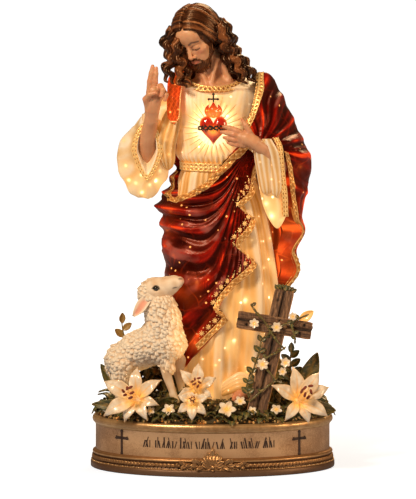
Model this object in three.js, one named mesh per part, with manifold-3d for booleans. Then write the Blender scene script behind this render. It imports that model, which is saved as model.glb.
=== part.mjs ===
// A devotional statuette in cast and painted resin: a robed and mantled figure with a lit heart, a lamb,
// a plank cross and lilies on an oval plinth. Millimetres, +Z up. The viewer looks along +Y, and the
// origin lies under the middle of the plinth.
import * as THREE from "three";
import { mergeVertices } from "three/addons/utils/BufferGeometryUtils.js";
import Module from "manifold-3d";

const wasm = await Module();
wasm.setup();
const { Manifold } = wasm;

// Driving dimensions
const PLINTH_HALF_WIDTH = 87.3;
const PLINTH_HALF_DEPTH = 64.5;
const PLINTH_HEIGHT = 37.4;
const BED_TOP = 49;
const CLEARANCE = 0.3;
const STAND = BED_TOP + CLEARANCE;
const CLOTH = 3.2;
const HEAD_CENTRE = [-11, -6, 307];
const HEART_CENTRE = [0.6, -19.5, 240];

// Finishes, as seen in the photograph
function finish(color, roughness, metalness) {
  return new THREE.MeshStandardMaterial({ color, roughness, metalness });
}
const BRONZE = finish(0x8a5a33, 0.45, 0.5);
const PAINTED = finish(0xb03020, 0.4, 0.0);
const FLEECE = finish(0xeadfcf, 0.7, 0.0);
const BARK = finish(0x57402f, 0.8, 0.0);
const LEAF = finish(0x3f4d24, 0.55, 0.0);
const PETAL = finish(0xf6e6c4, 0.25, 0.0);

// Small sums
const TAU = 2 * Math.PI;
const rad = (degrees) => (degrees * Math.PI) / 180;
const deg = (radians) => (radians * 180) / Math.PI;
const lerp = (a, b, t) => a + (b - a) * t;
const clamp = (x, low = 0, high = 1) => Math.min(high, Math.max(low, x));
const ease = (low, high, x) => {
  const t = clamp((x - low) / (high - low));
  return t * t * (3 - 2 * t);
};
const steps = (count) => Array.from({ length: count }, (_, i) => i);

// Poses: each is one turn or shift, and pose puts them together, the last one done first
const at = (x, y, z) => new THREE.Matrix4().makeTranslation(x, y, z);
const turnX = (degrees) => new THREE.Matrix4().makeRotationX(rad(degrees));
const turnY = (degrees) => new THREE.Matrix4().makeRotationY(rad(degrees));
const turnZ = (degrees) => new THREE.Matrix4().makeRotationZ(rad(degrees));
const pose = (...parts) => parts.reduce((whole, part) => whole.multiply(part), new THREE.Matrix4());
const FACING = turnX(90);

// Rows of [place, value, ...] read as smooth curves that pass through every row.
function keyed(rows, place) {
  const last = rows.length - 1;
  const t = clamp(place, rows[0][0], rows[last][0]);
  let k = 0;
  while (k < last - 1 && t > rows[k + 1][0]) k++;
  const [a, b] = [rows[k], rows[k + 1]];
  const span = b[0] - a[0];
  const s = (t - a[0]) / span;
  const before = rows[Math.max(0, k - 1)];
  const after = rows[Math.min(last, k + 2)];
  return a.slice(1).map((_, i) => {
    const c = i + 1;
    const slopeA = ((b[c] - before[c]) / (b[0] - before[0])) * span;
    const slopeB = ((after[c] - a[c]) / (after[0] - a[0])) * span;
    const s2 = s * s;
    const s3 = s2 * s;
    const fromA = (2 * s3 - 3 * s2 + 1) * a[c] + (s3 - 2 * s2 + s) * slopeA;
    const fromB = (3 * s2 - 2 * s3) * b[c] + (s3 - s2) * slopeB;
    return fromA + fromB;
  });
}

// A cloth fold across a phase: a narrow raised ridge between broad hollows, from 0 to 1.
const ridge = (phase) => 1 - Math.sqrt(Math.sin(phase / 2) ** 2 * 0.96 + 0.04);

// Solids from rings and sheets
function geometryOf(points, faces) {
  const geometry = new THREE.BufferGeometry();
  geometry.setAttribute("position", new THREE.Float32BufferAttribute(points.flat(), 3));
  geometry.setIndex(faces);
  return geometry;
}

// Rings of equal length, skinned one to the next, with a fan over each end to a tip or to the ring's middle.
function loftGeometry(rings, tips = []) {
  const count = rings[0].length;
  const points = rings.flat();
  const faces = [];
  for (let r = 0; r + 1 < rings.length; r++)
    for (let i = 0; i < count; i++) {
      const a = r * count + i;
      const b = r * count + ((i + 1) % count);
      faces.push(a, b, b + count, a, b + count, a + count);
    }
  for (const [ring, start, turn, tip] of [
    [rings[0], 0, 1, tips[0]],
    [rings.at(-1), points.length - count, 0, tips[1]],
  ]) {
    points.push(tip ?? ring[0].map((_, i) => ring.reduce((sum, p) => sum + p[i], 0) / count));
    const m = points.length - 1;
    for (let i = 0; i < count; i++) {
      const a = start + i;
      const b = start + ((i + 1) % count);
      faces.push(...(turn ? [m, b, a] : [m, a, b]));
    }
  }
  return geometryOf(points, faces);
}

// Two grids of points, front and back, closed all round their edge.
function sheetGeometry(front, back) {
  const rows = front.length;
  const cols = front[0].length;
  const half = rows * cols;
  const faces = [];
  const at = (r, c) => r * cols + c;
  for (let r = 0; r + 1 < rows; r++)
    for (let c = 0; c + 1 < cols; c++) {
      const [a, b, d, e] = [at(r, c), at(r, c + 1), at(r + 1, c + 1), at(r + 1, c)];
      faces.push(a, b, d, a, d, e, half + a, half + d, half + b, half + a, half + e, half + d);
    }
  const edge = [
    ...steps(cols - 1).map((c) => at(0, c)),
    ...steps(rows - 1).map((r) => at(r, cols - 1)),
    ...steps(cols - 1).map((c) => at(rows - 1, cols - 1 - c)),
    ...steps(rows - 1).map((r) => at(rows - 1 - r, 0)),
  ];
  edge.forEach((a, i) => {
    const b = edge[(i + 1) % edge.length];
    faces.push(a, half + b, b, a, half + a, half + b);
  });
  return geometryOf([...front.flat(), ...back.flat()], faces);
}

function solidOf(geometry) {
  geometry.deleteAttribute("normal");
  geometry.deleteAttribute("uv");
  const merged = mergeVertices(geometry, 1e-4);
  const make = (triVerts) =>
    new Manifold(new wasm.Mesh({ numProp: 3, vertProperties: merged.attributes.position.array, triVerts }));
  const faces = Uint32Array.from(merged.index.array);
  const solid = make(faces);
  return solid.volume() > 0 ? solid : make(faces.reverse());
}

const loft = (rings, tips) => solidOf(loftGeometry(rings, tips));
const sheet = (front, back) => solidOf(sheetGeometry(front, back));
const moved = (solid, matrix) => solid.transform(matrix.elements);
const shifted = (solid, [x, y, z]) => solid.translate(x, y, z);
const aboveStand = (solid) => solid.trimByPlane([0, 0, 1], STAND);

// Parts joined into one body, with any air trapped between them filled in.
function joined(parts) {
  const bodies = Manifold.union(parts).decompose();
  return bodies.reduce((most, body) => (body.volume() > most.volume() ? body : most));
}

function curveThrough(keys) {
  const points = keys.map(([x, y, z]) => new THREE.Vector3(x, y, z));
  return new THREE.CatmullRomCurve3(points, false, "centripetal");
}

// A round limb along a smooth path. Each key is [x, y, z, radius], and wide flattens or widens its section.
function limb(keys, sides, rings, wide = 1) {
  const path = curveThrough(keys);
  const frames = path.computeFrenetFrames(rings, false);
  const girth = keys.map((key, i) => [i / (keys.length - 1), key[3]]);
  return loft(
    steps(rings + 1).map((k) => {
      const centre = path.getPoint(k / rings);
      const [radius] = keyed(girth, k / rings);
      return steps(sides).map((i) => {
        const turn = (i / sides) * TAU;
        return centre
          .clone()
          .addScaledVector(frames.normals[k], Math.cos(turn) * radius * wide)
          .addScaledVector(frames.binormals[k], Math.sin(turn) * radius)
          .toArray();
      });
    }),
  );
}

// A ball stretched to three half-sizes, its surface pushed along its own direction by swell.
function ball([x, y, z], [rx, ry, rz], around, up, swell = () => 0, tip = Math.PI / 2) {
  const geometry = new THREE.SphereGeometry(1, around, up).rotateX(tip);
  geometry.deleteAttribute("normal");
  geometry.deleteAttribute("uv");
  const merged = mergeVertices(geometry, 1e-4);
  const place = merged.attributes.position;
  for (let i = 0; i < place.count; i++) {
    const way = new THREE.Vector3().fromBufferAttribute(place, i);
    const size = 1 + swell(way.x, way.y, way.z);
    place.setXYZ(i, x + way.x * rx * size, y + way.y * ry * size, z + way.z * rz * size);
  }
  return solidOf(merged);
}

// The robed body: [height, middle x, middle y, half width, half depth]
const BODY = [
  [STAND, 9.5, 9, 38, 29],
  [72, 9.5, 9, 37.5, 28],
  [110, 9, 8.5, 37.5, 27],
  [150, 7.5, 8, 35.5, 25],
  [185, 5, 7, 32.5, 22.5],
  [206, 3.5, 6, 27, 19],
  [216, 3, 5.5, 24.5, 17.5],
  [232, 2, 4.5, 27.5, 20],
  [250, 1, 4.5, 30.5, 20.5],
  [266, 0.5, 5.5, 33, 17.5],
  [275, 0.5, 6, 30, 14],
  [281, 1, 6, 18, 11],
];
const SECTION_POWER = 2.3;

// A point on the body at a turn from the front, positive to the viewer's right, and out off its surface.
function bodyPoint(turn, z, out = 0) {
  const [middleX, middleY, halfWidth, halfDepth] = keyed(BODY, z);
  const [s, c] = [Math.sin(turn), Math.cos(turn)];
  const k = (Math.abs(s) ** SECTION_POWER + Math.abs(c) ** SECTION_POWER) ** (-1 / SECTION_POWER);
  return [middleX + (halfWidth + out) * k * s, middleY - (halfDepth + out) * k * c, z];
}

// The robe's folds: pleats that deepen below the belt, gathers above it.
const PLEATS = 10;
function robeFold(turn, z) {
  const depth = 1.2 + ease(212, 110, z) * 4.6;
  const sway = 0.9 * Math.sin(2 * turn + z / 45);
  return depth * (ridge(PLEATS * turn + sway) - 0.35);
}

function robe() {
  const around = 30;
  const heights = [STAND, 85, 125, 165, 196, 212, 222, 240, 262, 272, 281];
  return loft(
    heights.map((z) =>
      steps(around).map((i) => {
        const turn = (i / around) * TAU;
        return bodyPoint(turn, z, robeFold(turn, z));
      }),
    ),
  );
}

// The mantle wrapped round the body, from the front right edge, past the viewer's left side, to the back.
// Its top and its hem are rows of [turn in degrees, height].
const WRAP_END = rad(-238);
const GATHER = [25, 224];
const WRAP_TOP = [
  [-238, 272],
  [-205, 277],
  [-175, 279],
  [-145, 276],
  [-118, 258],
  [-98, 222],
  [-82, 199],
  [-65, 193],
  [-25, 203],
  [0, 213],
  [20, 226],
  [42, 236],
];
const WRAP_HEM = [
  [-238, 96],
  [-180, 70],
  [-100, 66],
  [-60, 70],
  [-35, 79],
  [-22, 89],
  [0, 117],
  [20, 134],
  [42, 152],
];
// The front right edge hangs in a zigzag of folded tails.
const tails = (z) => rad(33 + 6 * Math.asin(Math.sin((z - 151) / 10.6)) * ease(238, 214, z));

// Swags that droop from the gather under the forearm in front, and folds that hang straight down the back.
const SWAGS = 30;
const SWAG_DEPTH = 9;
function wrapFold(turn, z) {
  const [x, , height] = bodyPoint(turn, z);
  const [dx, dz] = [x - GATHER[0], height - GATHER[1]];
  const reach = Math.hypot(dx, dz);
  const fan = Math.atan2(-dx, -dz) / (1 + reach * 0.009);
  const front = ease(rad(-125), rad(-85), turn);
  const swags = ridge(SWAGS * fan) * clamp(reach / 34, 0.2, 1) * SWAG_DEPTH;
  const hanging = ridge(11 * turn + 0.8 * Math.sin(z / 38)) * 5.5 * ease(282, 250, z);
  return lerp(hanging, swags, front);
}

function mantleWrap() {
  const cols = 32;
  const rows = 8;
  const grid = (surface) =>
    steps(rows).map((r) =>
      steps(cols).map((c) => {
        const v = r / (rows - 1);
        const share = (c / (cols - 1)) ** 1.3;
        const middle = lerp(rad(38), WRAP_END, share);
        const guess = lerp(...[WRAP_HEM, WRAP_TOP].map((edge) => keyed(edge, deg(middle))[0]), v);
        const turn = lerp(tails(guess), WRAP_END, share);
        const z = lerp(...[WRAP_HEM, WRAP_TOP].map((edge) => keyed(edge, deg(turn))[0]), v);
        return surface(turn, z);
      }),
    );
  return sheet(
    grid((turn, z) => bodyPoint(turn, z, CLOTH + wrapFold(turn, z))),
    grid((turn, z) => bodyPoint(turn, z, -6)),
  );
}

// The mantle that hangs from the viewer's right forearm, its outer edge falling in folded tails:
// [turn in degrees, out, low, high]
const DRAPE = [
  [58, 6, 168, 228],
  [75, 13, 134, 232],
  [92, 15, 127, 240],
  [110, 13, 118, 254],
  [130, 8, 104, 268],
  [150, 4, 90, 274],
];
function mantleDrape() {
  const cols = 8;
  const rows = 9;
  const grid = (surface) =>
    steps(rows).map((r) =>
      steps(cols).map((c) => {
        const degrees = lerp(DRAPE[0][0], DRAPE.at(-1)[0], c / (cols - 1));
        const [out, low, high] = keyed(DRAPE, degrees);
        return surface(rad(degrees), lerp(low, high, r / (rows - 1)), out);
      }),
    );
  const tail = (turn, z) => 3.4 * Math.asin(Math.sin((z - 132) / 8.5)) * ease(225, 205, z);
  return sheet(
    grid((turn, z, out) => bodyPoint(turn, z, out + tail(turn, z) + 3 * ridge(15 * turn + z / 26))),
    grid((turn, z, out) => bodyPoint(turn, z, Math.min(-3, out - 17))),
  );
}

// The mantle over the viewer's right arm, from shoulder to elbow to wrist, with wrapped folds.
function wrappedArm() {
  const keys = [
    [27, 8, 266, 13],
    [42, 7, 256, 16],
    [51, 4, 236, 18],
    [53, -2, 219, 17],
    [46, -14, 219, 14],
    [36, -22, 226, 9],
  ];
  const path = curveThrough(keys);
  const rings = 7;
  const sides = 9;
  const girth = keys.map((key, i) => [i / (keys.length - 1), key[3]]);
  const frames = path.computeFrenetFrames(rings, false);
  return loft(
    steps(rings + 1).map((k) => {
      const share = k / rings;
      const centre = path.getPoint(share);
      const [radius] = keyed(girth, share);
      return steps(sides).map((i) => {
        const turn = (i / sides) * TAU;
        const size = radius + 4 * (ridge(2 * turn + share * 26) - 0.4);
        return centre
          .clone()
          .addScaledVector(frames.normals[k], Math.cos(turn) * size)
          .addScaledVector(frames.binormals[k], Math.sin(turn) * size)
          .toArray();
      });
    }),
  );
}

// A ring of a sleeve: an upright loop about a middle point, turned about the vertical, pointed at its foot
// and, on the viewer's left, at its peak.
function loopRing([x, y, z], halfWidth, halfHeight, turn, sides, foot = 0, peak = 0) {
  return steps(sides).map((i) => {
    const angle = (i / sides) * TAU;
    const up = clamp(Math.cos(angle)) ** 2 * clamp(-4 * Math.sin(angle));
    const across = Math.sin(angle) * halfWidth * (1 - foot * clamp(-Math.cos(angle)) - peak * up);
    return [x + across * Math.cos(turn), y + across * Math.sin(turn), z + Math.cos(angle) * halfHeight];
  });
}

// The wide sleeve on the viewer's left: [share, x, y, z, half width, half height, turn, foot, peak]
const WIDE_SLEEVE = [
  [0, -24, 7, 258, 9, 13, -75, 0, 0],
  [0.25, -37, 6, 245, 12, 18, -50, 0, 0.2],
  [0.5, -46, 3, 229, 15.5, 24.5, -20, 0.1, 0.6],
  [0.75, -49, -5, 222.5, 18.4, 28.5, -5, 0.12, 0.9],
  [1, -46.5, -15, 227, 11, 20.4, 0, 0.45, 0],
];
function wideSleeve() {
  const rings = 6;
  const sides = 11;
  const outside = steps(rings + 1).map((k) => {
    const share = k / rings;
    const [x, y, z, halfWidth, halfHeight, turn, foot, peak] = keyed(WIDE_SLEEVE, share);
    const fold = 1 + 0.05 * Math.sin(share * 19);
    return loopRing([x, y, z], halfWidth * fold, halfHeight * fold, rad(turn), sides, foot, peak);
  });
  const mouth = steps(2).map((k) => loopRing([-47, -13 + 10 * k, 226], 8.4 - k, 17 - 4 * k, 0, sides, 0.5));
  return loft([...outside, ...mouth]);
}

// The narrow sleeve on the viewer's right, hanging in two tails below the wrist.
function hangingSleeve() {
  const shape = [
    [172, 45.5, -19, 1.2, 3],
    [182, 45, -18, 6.5, 6],
    [198, 43.5, -17, 8.6, 9],
    [214, 41, -17.5, 8.6, 10],
    [228, 38, -20, 7.6, 8.5],
    [235, 36, -22, 5, 6],
  ];
  const sides = 8;
  return loft(
    steps(5).map((k) => {
      const z = lerp(shape[0][0], shape.at(-1)[0], k / 4);
      const [x, y, halfWidth, halfDepth] = keyed(shape, z);
      return steps(sides).map((i) => {
        const turn = (i / sides) * TAU;
        const size = 1 + 0.14 * Math.cos(4 * turn);
        return [x + halfWidth * size * Math.sin(turn), y - halfDepth * size * Math.cos(turn), z];
      });
    }),
  );
}

// Collar, belt and the strip of mantle over the viewer's left shoulder
function band(low, high, from, to, out, cols) {
  const grid = (off) =>
    [low, high].map((z) =>
      steps(cols).map((c) => bodyPoint(lerp(rad(from), rad(to), c / (cols - 1)), z, off)),
    );
  return sheet(grid(out), grid(-3));
}

function collar() {
  const keys = steps(13).map((k) => {
    const turn = (k / 12) * TAU;
    return [1 + 19.5 * Math.sin(turn), 2.5 - 15.5 * Math.cos(turn), 278.5 - 6.5 * Math.cos(turn), 2.3];
  });
  return limb(keys, 3, 12);
}

function shoulderStrip() {
  const strip = [
    [0, -21, 6, 282, 5.5],
    [0.25, -26, -5, 278, 6],
    [0.5, -28.5, -14, 266, 5.5],
    [0.8, -29.5, -16.5, 252, 4.6],
    [1, -29.5, -15, 245, 2],
  ];
  const rows = 4;
  const grid = (depth) =>
    steps(rows + 1).map((r) => {
      const [x, y, z, half] = keyed(strip, r / rows);
      return [-1, 0, 1].map((side) => [
        x + side * half,
        y + depth * 0.9 + Math.abs(side) * 1.2,
        z - depth * 0.35,
      ]);
    });
  return sheet(grid(0), grid(5));
}

// Hands: each finger is a chain of joints [x, y, z, radius]
const RIGHT_FINGERS = [
  [[-44.6, -27, 270, 2.6], [-44.6, -28.5, 278, 2.3], [-43.4, -29, 284, 2], [-42.3, -29, 288.6, 1.4]],
  [[-41.6, -26.5, 270, 2.6], [-41.4, -28, 278, 2.3], [-40.6, -28.5, 283.5, 2], [-40, -28.5, 287.4, 1.4]],
  [[-38.8, -26, 270, 2.4], [-36.8, -29.5, 275, 2.2], [-35.6, -33, 272, 2], [-36.8, -33, 267.6, 1.5]],
  [[-37.4, -26, 266, 2.2], [-35, -29, 270, 2], [-33.8, -32, 267.6, 1.8], [-35, -32, 264, 1.3]],
  [[-45.6, -26, 260, 3], [-47.2, -30, 265, 2.6], [-44.6, -33.6, 268.4, 2.2], [-40.6, -34.6, 270, 1.6]],
];
const LEFT_FINGERS = [
  [[22, -29, 241, 2.5], [16.4, -29.6, 244.2, 2.2], [12, -28.6, 246.8, 1.9], [8.6, -27.4, 248.6, 1.4]],
  [[21, -29.4, 238.6, 2.5], [15, -30, 241.4, 2.2], [10.4, -29, 243.6, 1.9], [6.8, -27.8, 245.2, 1.4]],
  [[21, -29.2, 236, 2.4], [15.4, -29.6, 238, 2.1], [11, -28.8, 239.6, 1.8], [7.8, -27.8, 240.8, 1.3]],
  [[22, -28.6, 233.6, 2.2], [17, -29, 234.6, 1.9], [13.2, -28.4, 235.6, 1.7], [10.4, -27.6, 236.4, 1.2]],
  [[28, -28, 238, 2.8], [25.4, -30.6, 243.6, 2.4], [22.8, -31, 248, 2.1], [21.2, -30.6, 251.4, 1.5]],
];

function hand(fingers, palmKeys) {
  return [...fingers.map((joints) => limb(joints, 4, 2)), limb(palmKeys, 6, 3, 0.62)];
}

function rightArm() {
  const forearm = limb([[-48, 2, 214, 8.5], [-46.6, -10, 236, 7], [-43.4, -22, 254, 5]], 7, 3);
  const palm = [
    [-43.2, -21.5, 252, 5.2],
    [-42.6, -25, 260, 6.4],
    [-41.4, -26.6, 268, 7],
    [-41.4, -27.4, 274, 5],
  ];
  return [forearm, ...hand(RIGHT_FINGERS, palm)];
}

function leftArm() {
  const forearm = limb([[50, -12, 216, 7.5], [41, -22, 225, 6.2], [33.4, -27, 232, 4.8]], 7, 3);
  const palm = [[35, -26.5, 231, 4.8], [30, -28.4, 235, 6.2], [24, -29, 238, 7], [19.6, -29.4, 239.6, 5]];
  return [forearm, ...hand(LEFT_FINGERS, palm)];
}

// The head, in its own frame: face towards -y, then bowed, turned and leaned
const HEAD_POSE = pose(at(...HEAD_CENTRE), turnY(-10), turnZ(-32), turnX(28));

function head() {
  const skull = ball([0, 2, 4], [12.6, 16, 16], 9, 6);
  const jaw = ball([0, -5.2, -7], [10.2, 9.4, 13], 10, 6);
  const brow = ball([0, -11, 3.4], [8.4, 3.4, 2.6], 6, 3);
  const bridge = [
    [0, -13.2, 3, 1.3],
    [0, -16, -1.6, 1.8],
    [0, -17.6, -4.4, 2.1],
    [0, -15, -5.6, 1.5],
  ];
  const nose = limb(bridge, 4, 3);
  const lids = [-1, 1].map((side) => ball([side * 4.6, -11.6, 0], [3, 2.6, 2.1], 5, 3));
  const lips = ball([0, -14, -9.4], [3.4, 1.8, 1.5], 5, 3);
  const beard = ball([0, -6.6, -14], [9.6, 9, 8.6], 9, 5);
  const sides = [-1, 1].flatMap((side) => {
    const cheekBeard = [[side * 10.4, -2, 0, 1.8], [side * 10, -4, -7, 2.6], [side * 7, -9, -13, 3]];
    const moustache = [[0, -15.2, -7.2, 1.2], [side * 4, -13.6, -9, 1.4], [side * 6.4, -11, -12, 1]];
    return [limb(cheekBeard, 5, 2), limb(moustache, 4, 2)];
  });
  return [skull, jaw, brow, nose, ...lids, lips, beard, ...sides].map((solid) => moved(solid, HEAD_POSE));
}

// The hair's cap: a ball whose poles lie at the face and the nape, so that its strands fall from the parting
// to the sides, and whose front is drawn in behind the face.
const STRANDS = 7;
function hairCap() {
  const comb = (x, y, z) => {
    const fromFace = Math.acos(clamp(-y, -1, 1));
    const opening = ease(rad(58 - 12 * z), rad(44 - 12 * z), fromFace);
    const strand = 0.05 * ridge(STRANDS * 2 * fromFace);
    const parting = -0.05 * Math.exp(-((x / 0.2) ** 2)) * ease(0.2, 0.8, z);
    return strand + parting - 0.45 * opening - 0.25 * ease(-0.35, -0.8, z);
  };
  return moved(ball([0, 4, 4.6], [16.6, 19, 19.4], 12, 10, comb, 0), HEAD_POSE);
}

// Long locks, each a wavy rope of hair: its path from root to tip, and its thickness
const LOCK_TAPER = [[0, 0.7], [0.4, 1], [0.8, 0.8], [1, 0.35]];
const LOCKS = [
  [[[-28, -14, 313], [-32, -12, 304], [-28.6, -11, 294], [-30, -11, 284], [-28, -12, 276]], 4.4],
  [[[-29, -5, 314], [-33.6, -3, 304], [-30, -2, 292], [-33, -3, 283], [-31, -3, 274]], 4.8],
  [[[-26, -17, 309], [-26.6, -17, 298], [-22.6, -14, 289], [-23.6, -16, 280], [-20.6, -18, 273]], 3.6],
  [[[4, -14, 318], [9, -12, 308], [12, -9, 298], [17.6, -9, 290], [22, -12, 282], [24, -13, 275]], 4],
  [[[6, -6, 318], [12, -4, 308], [15, -2, 297], [22, -3, 289], [28, -4, 281], [32, -4, 274]], 4.8],
  [[[4, 2, 320], [11, 5, 308], [15, 7, 296], [21, 8, 286], [27, 7, 278]], 5.2],
];
function lock([path, thickness], index) {
  const count = path.length - 1;
  const keys = steps(2 * count + 1).map((k) => {
    const share = k / (2 * count);
    const [x, y, z] = keyed(path.map((p, i) => [i / count, ...p]), share);
    const wave = 1.5 * Math.sin(k * 1.9 + index);
    const radius = thickness * keyed(LOCK_TAPER, share)[0];
    return [x + wave, y + 0.7 * Math.cos(k * 1.9 + index), z, radius];
  });
  return limb(keys, 4, 5);
}

// The hair down the back: a mass of parallel waves from the crown to between the shoulders
function backHair() {
  const waves = [
    [262, 0, 19, 20, 5],
    [276, -1, 15, 25, 8],
    [292, -4, 11, 23, 12],
    [308, -9, 6, 18, 15],
    [320, -11, 3, 13, 13],
  ];
  const sides = 14;
  return loft(
    waves.map(([z, x, y, halfWidth, halfDepth]) =>
      steps(sides).map((i) => {
        const turn = (i / sides) * TAU;
        const size = i % 2 ? 0.88 : 1.04;
        return [x + halfWidth * size * Math.sin(turn), y - halfDepth * size * Math.cos(turn), z];
      }),
    ),
  );
}

// The heart with its thorns, flame and small cross
function emblem() {
  const [x, y, z] = HEART_CENTRE;
  const outline = new THREE.Shape();
  const [half, top, tip] = [10, 10, -11];
  outline.moveTo(0, tip);
  outline.bezierCurveTo(-3, -7, -half, -2, -half, 4.5);
  outline.bezierCurveTo(-half, top, -3.4, top + 1.2, 0, 6.2);
  outline.bezierCurveTo(3.4, top + 1.2, half, top, half, 4.5);
  outline.bezierCurveTo(half, -2, 3, -7, 0, tip);
  const bevel = { bevelSize: 1.2, bevelThickness: 1.4, bevelSegments: 1, bevelOffset: -1.2 };
  const heart = new THREE.ExtrudeGeometry(outline, { depth: 5, curveSegments: 3, ...bevel });
  const flame = new THREE.Shape();
  flame.moveTo(-2.4, 0);
  flame.quadraticCurveTo(-6.4, 4, -4.6, 9);
  flame.lineTo(-2.4, 7);
  flame.lineTo(0, 11.5);
  flame.lineTo(2.4, 7);
  flame.lineTo(4.6, 9);
  flame.quadraticCurveTo(6.4, 4, 2.4, 0);
  const blaze = new THREE.ExtrudeGeometry(flame, { depth: 4.4, curveSegments: 3, bevelEnabled: false });
  const standing = (geometry, up) => solidOf(geometry.rotateX(Math.PI / 2).translate(x, y + 4.5, z + up));
  const post = solidOf(new THREE.BoxGeometry(1.3, 5, 9).translate(x, y + 2.6, z + 21.5));
  const arm = solidOf(new THREE.BoxGeometry(6, 5, 1.3).translate(x, y + 2.6, z + 22.6));
  const twined = steps(9).map((i) => [x - 11 + i * 2.75, y - 2.2, z + 1.6 + (i % 2 ? 1 : -1), 1.2]);
  const thorns = limb(twined, 4, 8);
  return [standing(heart, 0), standing(blaze, 8.4), post, arm, thorns];
}

function foot() {
  const instep = ball([20, -22, 54], [6, 12, 6], 9, 6);
  const toes = steps(5).map((k) => {
    const [x, y] = [15.6 + 2.3 * k, -32.8 + 0.9 * k];
    return limb([[x, y + 6, 53, 1.6], [x, y + 1.6, 52, 1.8], [x, y, 51.6, 1.2]], 4, 2);
  });
  return [instep, ...toes];
}

function figure() {
  const neck = limb([[1, 6, 270, 10.5], [-1.5, 3, 282, 9], [-6, 0, 294, 9.4]], 10, 3);
  const parts = [
    robe(),
    mantleWrap(),
    mantleDrape(),
    wrappedArm(),
    wideSleeve(),
    hangingSleeve(),
    shoulderStrip(),
    collar(),
    band(212.5, 218.5, -75, 40, 1.4, 8),
    neck,
    ...head(),
    hairCap(),
    backHair(),
    ...LOCKS.map(lock),
    ...rightArm(),
    ...leftArm(),
    ...emblem(),
    ...foot(),
  ];
  return aboveStand(joined(parts));
}

// The lamb, standing on the viewer's left with its head raised towards the figure
const LAMB_TURN = -12;
const LAMB_PLACE = [-47.5, -22, STAND];

const fleece = (x, y, z) => 0.05 * (Math.sin(11 * x + 3 * z) + Math.sin(10 * y + 7 * z));
const BARREL = [
  [-24, 0, 25, 4],
  [-17, 0, 29.5, 11.2],
  [-5, 0, 36.5, 13.6],
  [6, 0, 41, 14.6],
  [17, 0, 42.4, 12],
  [25, 0, 42, 4],
];
const NECK = [
  [12, 0, 43, 14],
  [13, 0, 57, 12.6],
  [11, 0, 67, 11.4],
  [7, 0, 76, 9.8],
];
const MUZZLE = [
  [8, 0, 79, 9.2],
  [15, 0, 82.6, 7.6],
  [21, 0, 85.2, 5.8],
  [25.4, 0, 86.6, 3],
];
// Legs: [hip, hoof, side]
const LEGS = [
  [13, 22, -1],
  [20, 26, 1],
  [-15, -18, -1],
  [-16, -13, 1],
];

function lamb() {
  const poll = ball([4.8, 0, 77.6], [10.2, 8.8, 10.4], 9, 6, fleece);
  const ears = [-1, 1].map((side) => {
    const keys = [[3.4, 7.4, 75, 1.8], [0, 10, 71, 3.6], [-3, 10.8, 66, 3], [-6.6, 11, 61.8, 0.8]];
    return limb(keys.map(([x, y, z, radius]) => [x, side * y, z, radius]), 4, 3, 0.42);
  });
  const legs = LEGS.map(([hip, hoof, side]) => {
    const knee = lerp(hip, hoof, 0.5);
    const keys = [[hip, 6.2, 32, 6.8], [knee, 6.4, 18, 4.2], [hoof - 1, 6.4, 7, 3], [hoof, 6.4, -1, 4]];
    return limb(keys.map(([x, y, z, radius]) => [x, side * y, z, radius]), 5, 3);
  });
  const tail = limb([[-21, 0, 36, 3.8], [-26, 0, 29, 3.6], [-26, 0, 20, 1.6]], 5, 2);
  const trunk = [limb(BARREL, 11, 7), limb(NECK, 9, 3), limb(MUZZLE, 7, 3), poll, tail];
  const whole = joined([...trunk, ...ears, ...legs]);
  return shifted(whole.trimByPlane([0, 0, 1], 0).rotate(0, 0, LAMB_TURN), LAMB_PLACE);
}

// The plank cross, planted in the bed and leaning back a little. Its own +z runs up the middle of the post.
const CROSS_FOOT = [30.5, -46, 41];
const POST = { width: 13.4, length: 92, depth: 8 };
const BEAM = { width: 12, length: 53, depth: 8.8, height: 66, left: 28, slope: 86 };
const CROSS_POSE = pose(at(...CROSS_FOOT), turnX(-8), turnY(13));

function plank(width, length, depth) {
  const outline = new THREE.Shape();
  const [w, front, groove] = [width / 2, -depth / 2, 0.9];
  outline.moveTo(-w, front);
  outline.lineTo(-groove, front);
  outline.lineTo(0, front + 1.4);
  outline.lineTo(groove, front);
  outline.lineTo(w, front);
  outline.lineTo(w, -front);
  outline.lineTo(-w, -front);
  outline.closePath();
  return solidOf(new THREE.ExtrudeGeometry(outline, { depth: length, bevelEnabled: false }));
}

// A square hole a little larger than the post's foot, for the bed.
function crossSocket() {
  const [width, depth, height] = [POST.width + 2 * CLEARANCE, POST.depth + 2 * CLEARANCE, 60];
  const block = new THREE.BoxGeometry(width, depth, height).translate(0, 0, height / 2 - CLEARANCE);
  return moved(solidOf(block), CROSS_POSE);
}

// The vine winds up the post from left to right and out along the beam.
function vine() {
  const winds = steps(15).map((k) => {
    const turn = k * 1.15 - 0.4;
    return [8.2 * Math.sin(turn), -6.2 * Math.cos(turn), 8 + k * 4.2, 1.3];
  });
  const onBeam = (side) => [
    [side * 2, -5.6, 58, 1.1],
    [side * 9, -5.8, 66, 1.1],
    [side * 17, -5.4, 71 - side, 1],
  ];
  const blooms = [[-16, 64], [0.4, 65], [-3.6, 37], [9.7, 75]].map(([x, z]) =>
    moved(starFlower(5), pose(at(x, -4.8, z), FACING)),
  );
  const leaves = steps(5).map((k) => {
    const side = k % 2 ? 1 : -1;
    const aim = pose(at(side * 5.6, -4.8, 14 + k * 12), turnY(side * 52), FACING);
    return moved(blade(9.5, 3, 1.6, (t) => 0.2 * t), aim);
  });
  return [limb(winds, 3, 26), limb(onBeam(-1), 3, 2), limb(onBeam(1), 3, 2), ...blooms, ...leaves];
}

function cross() {
  const post = plank(POST.width, POST.length, POST.depth);
  const beam = plank(BEAM.width, BEAM.length, BEAM.depth).rotate(0, BEAM.slope, 0);
  const pieces = joined([post, shifted(beam, [-BEAM.left, 0, BEAM.height]), ...vine()]);
  return moved(pieces, CROSS_POSE);
}

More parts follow.
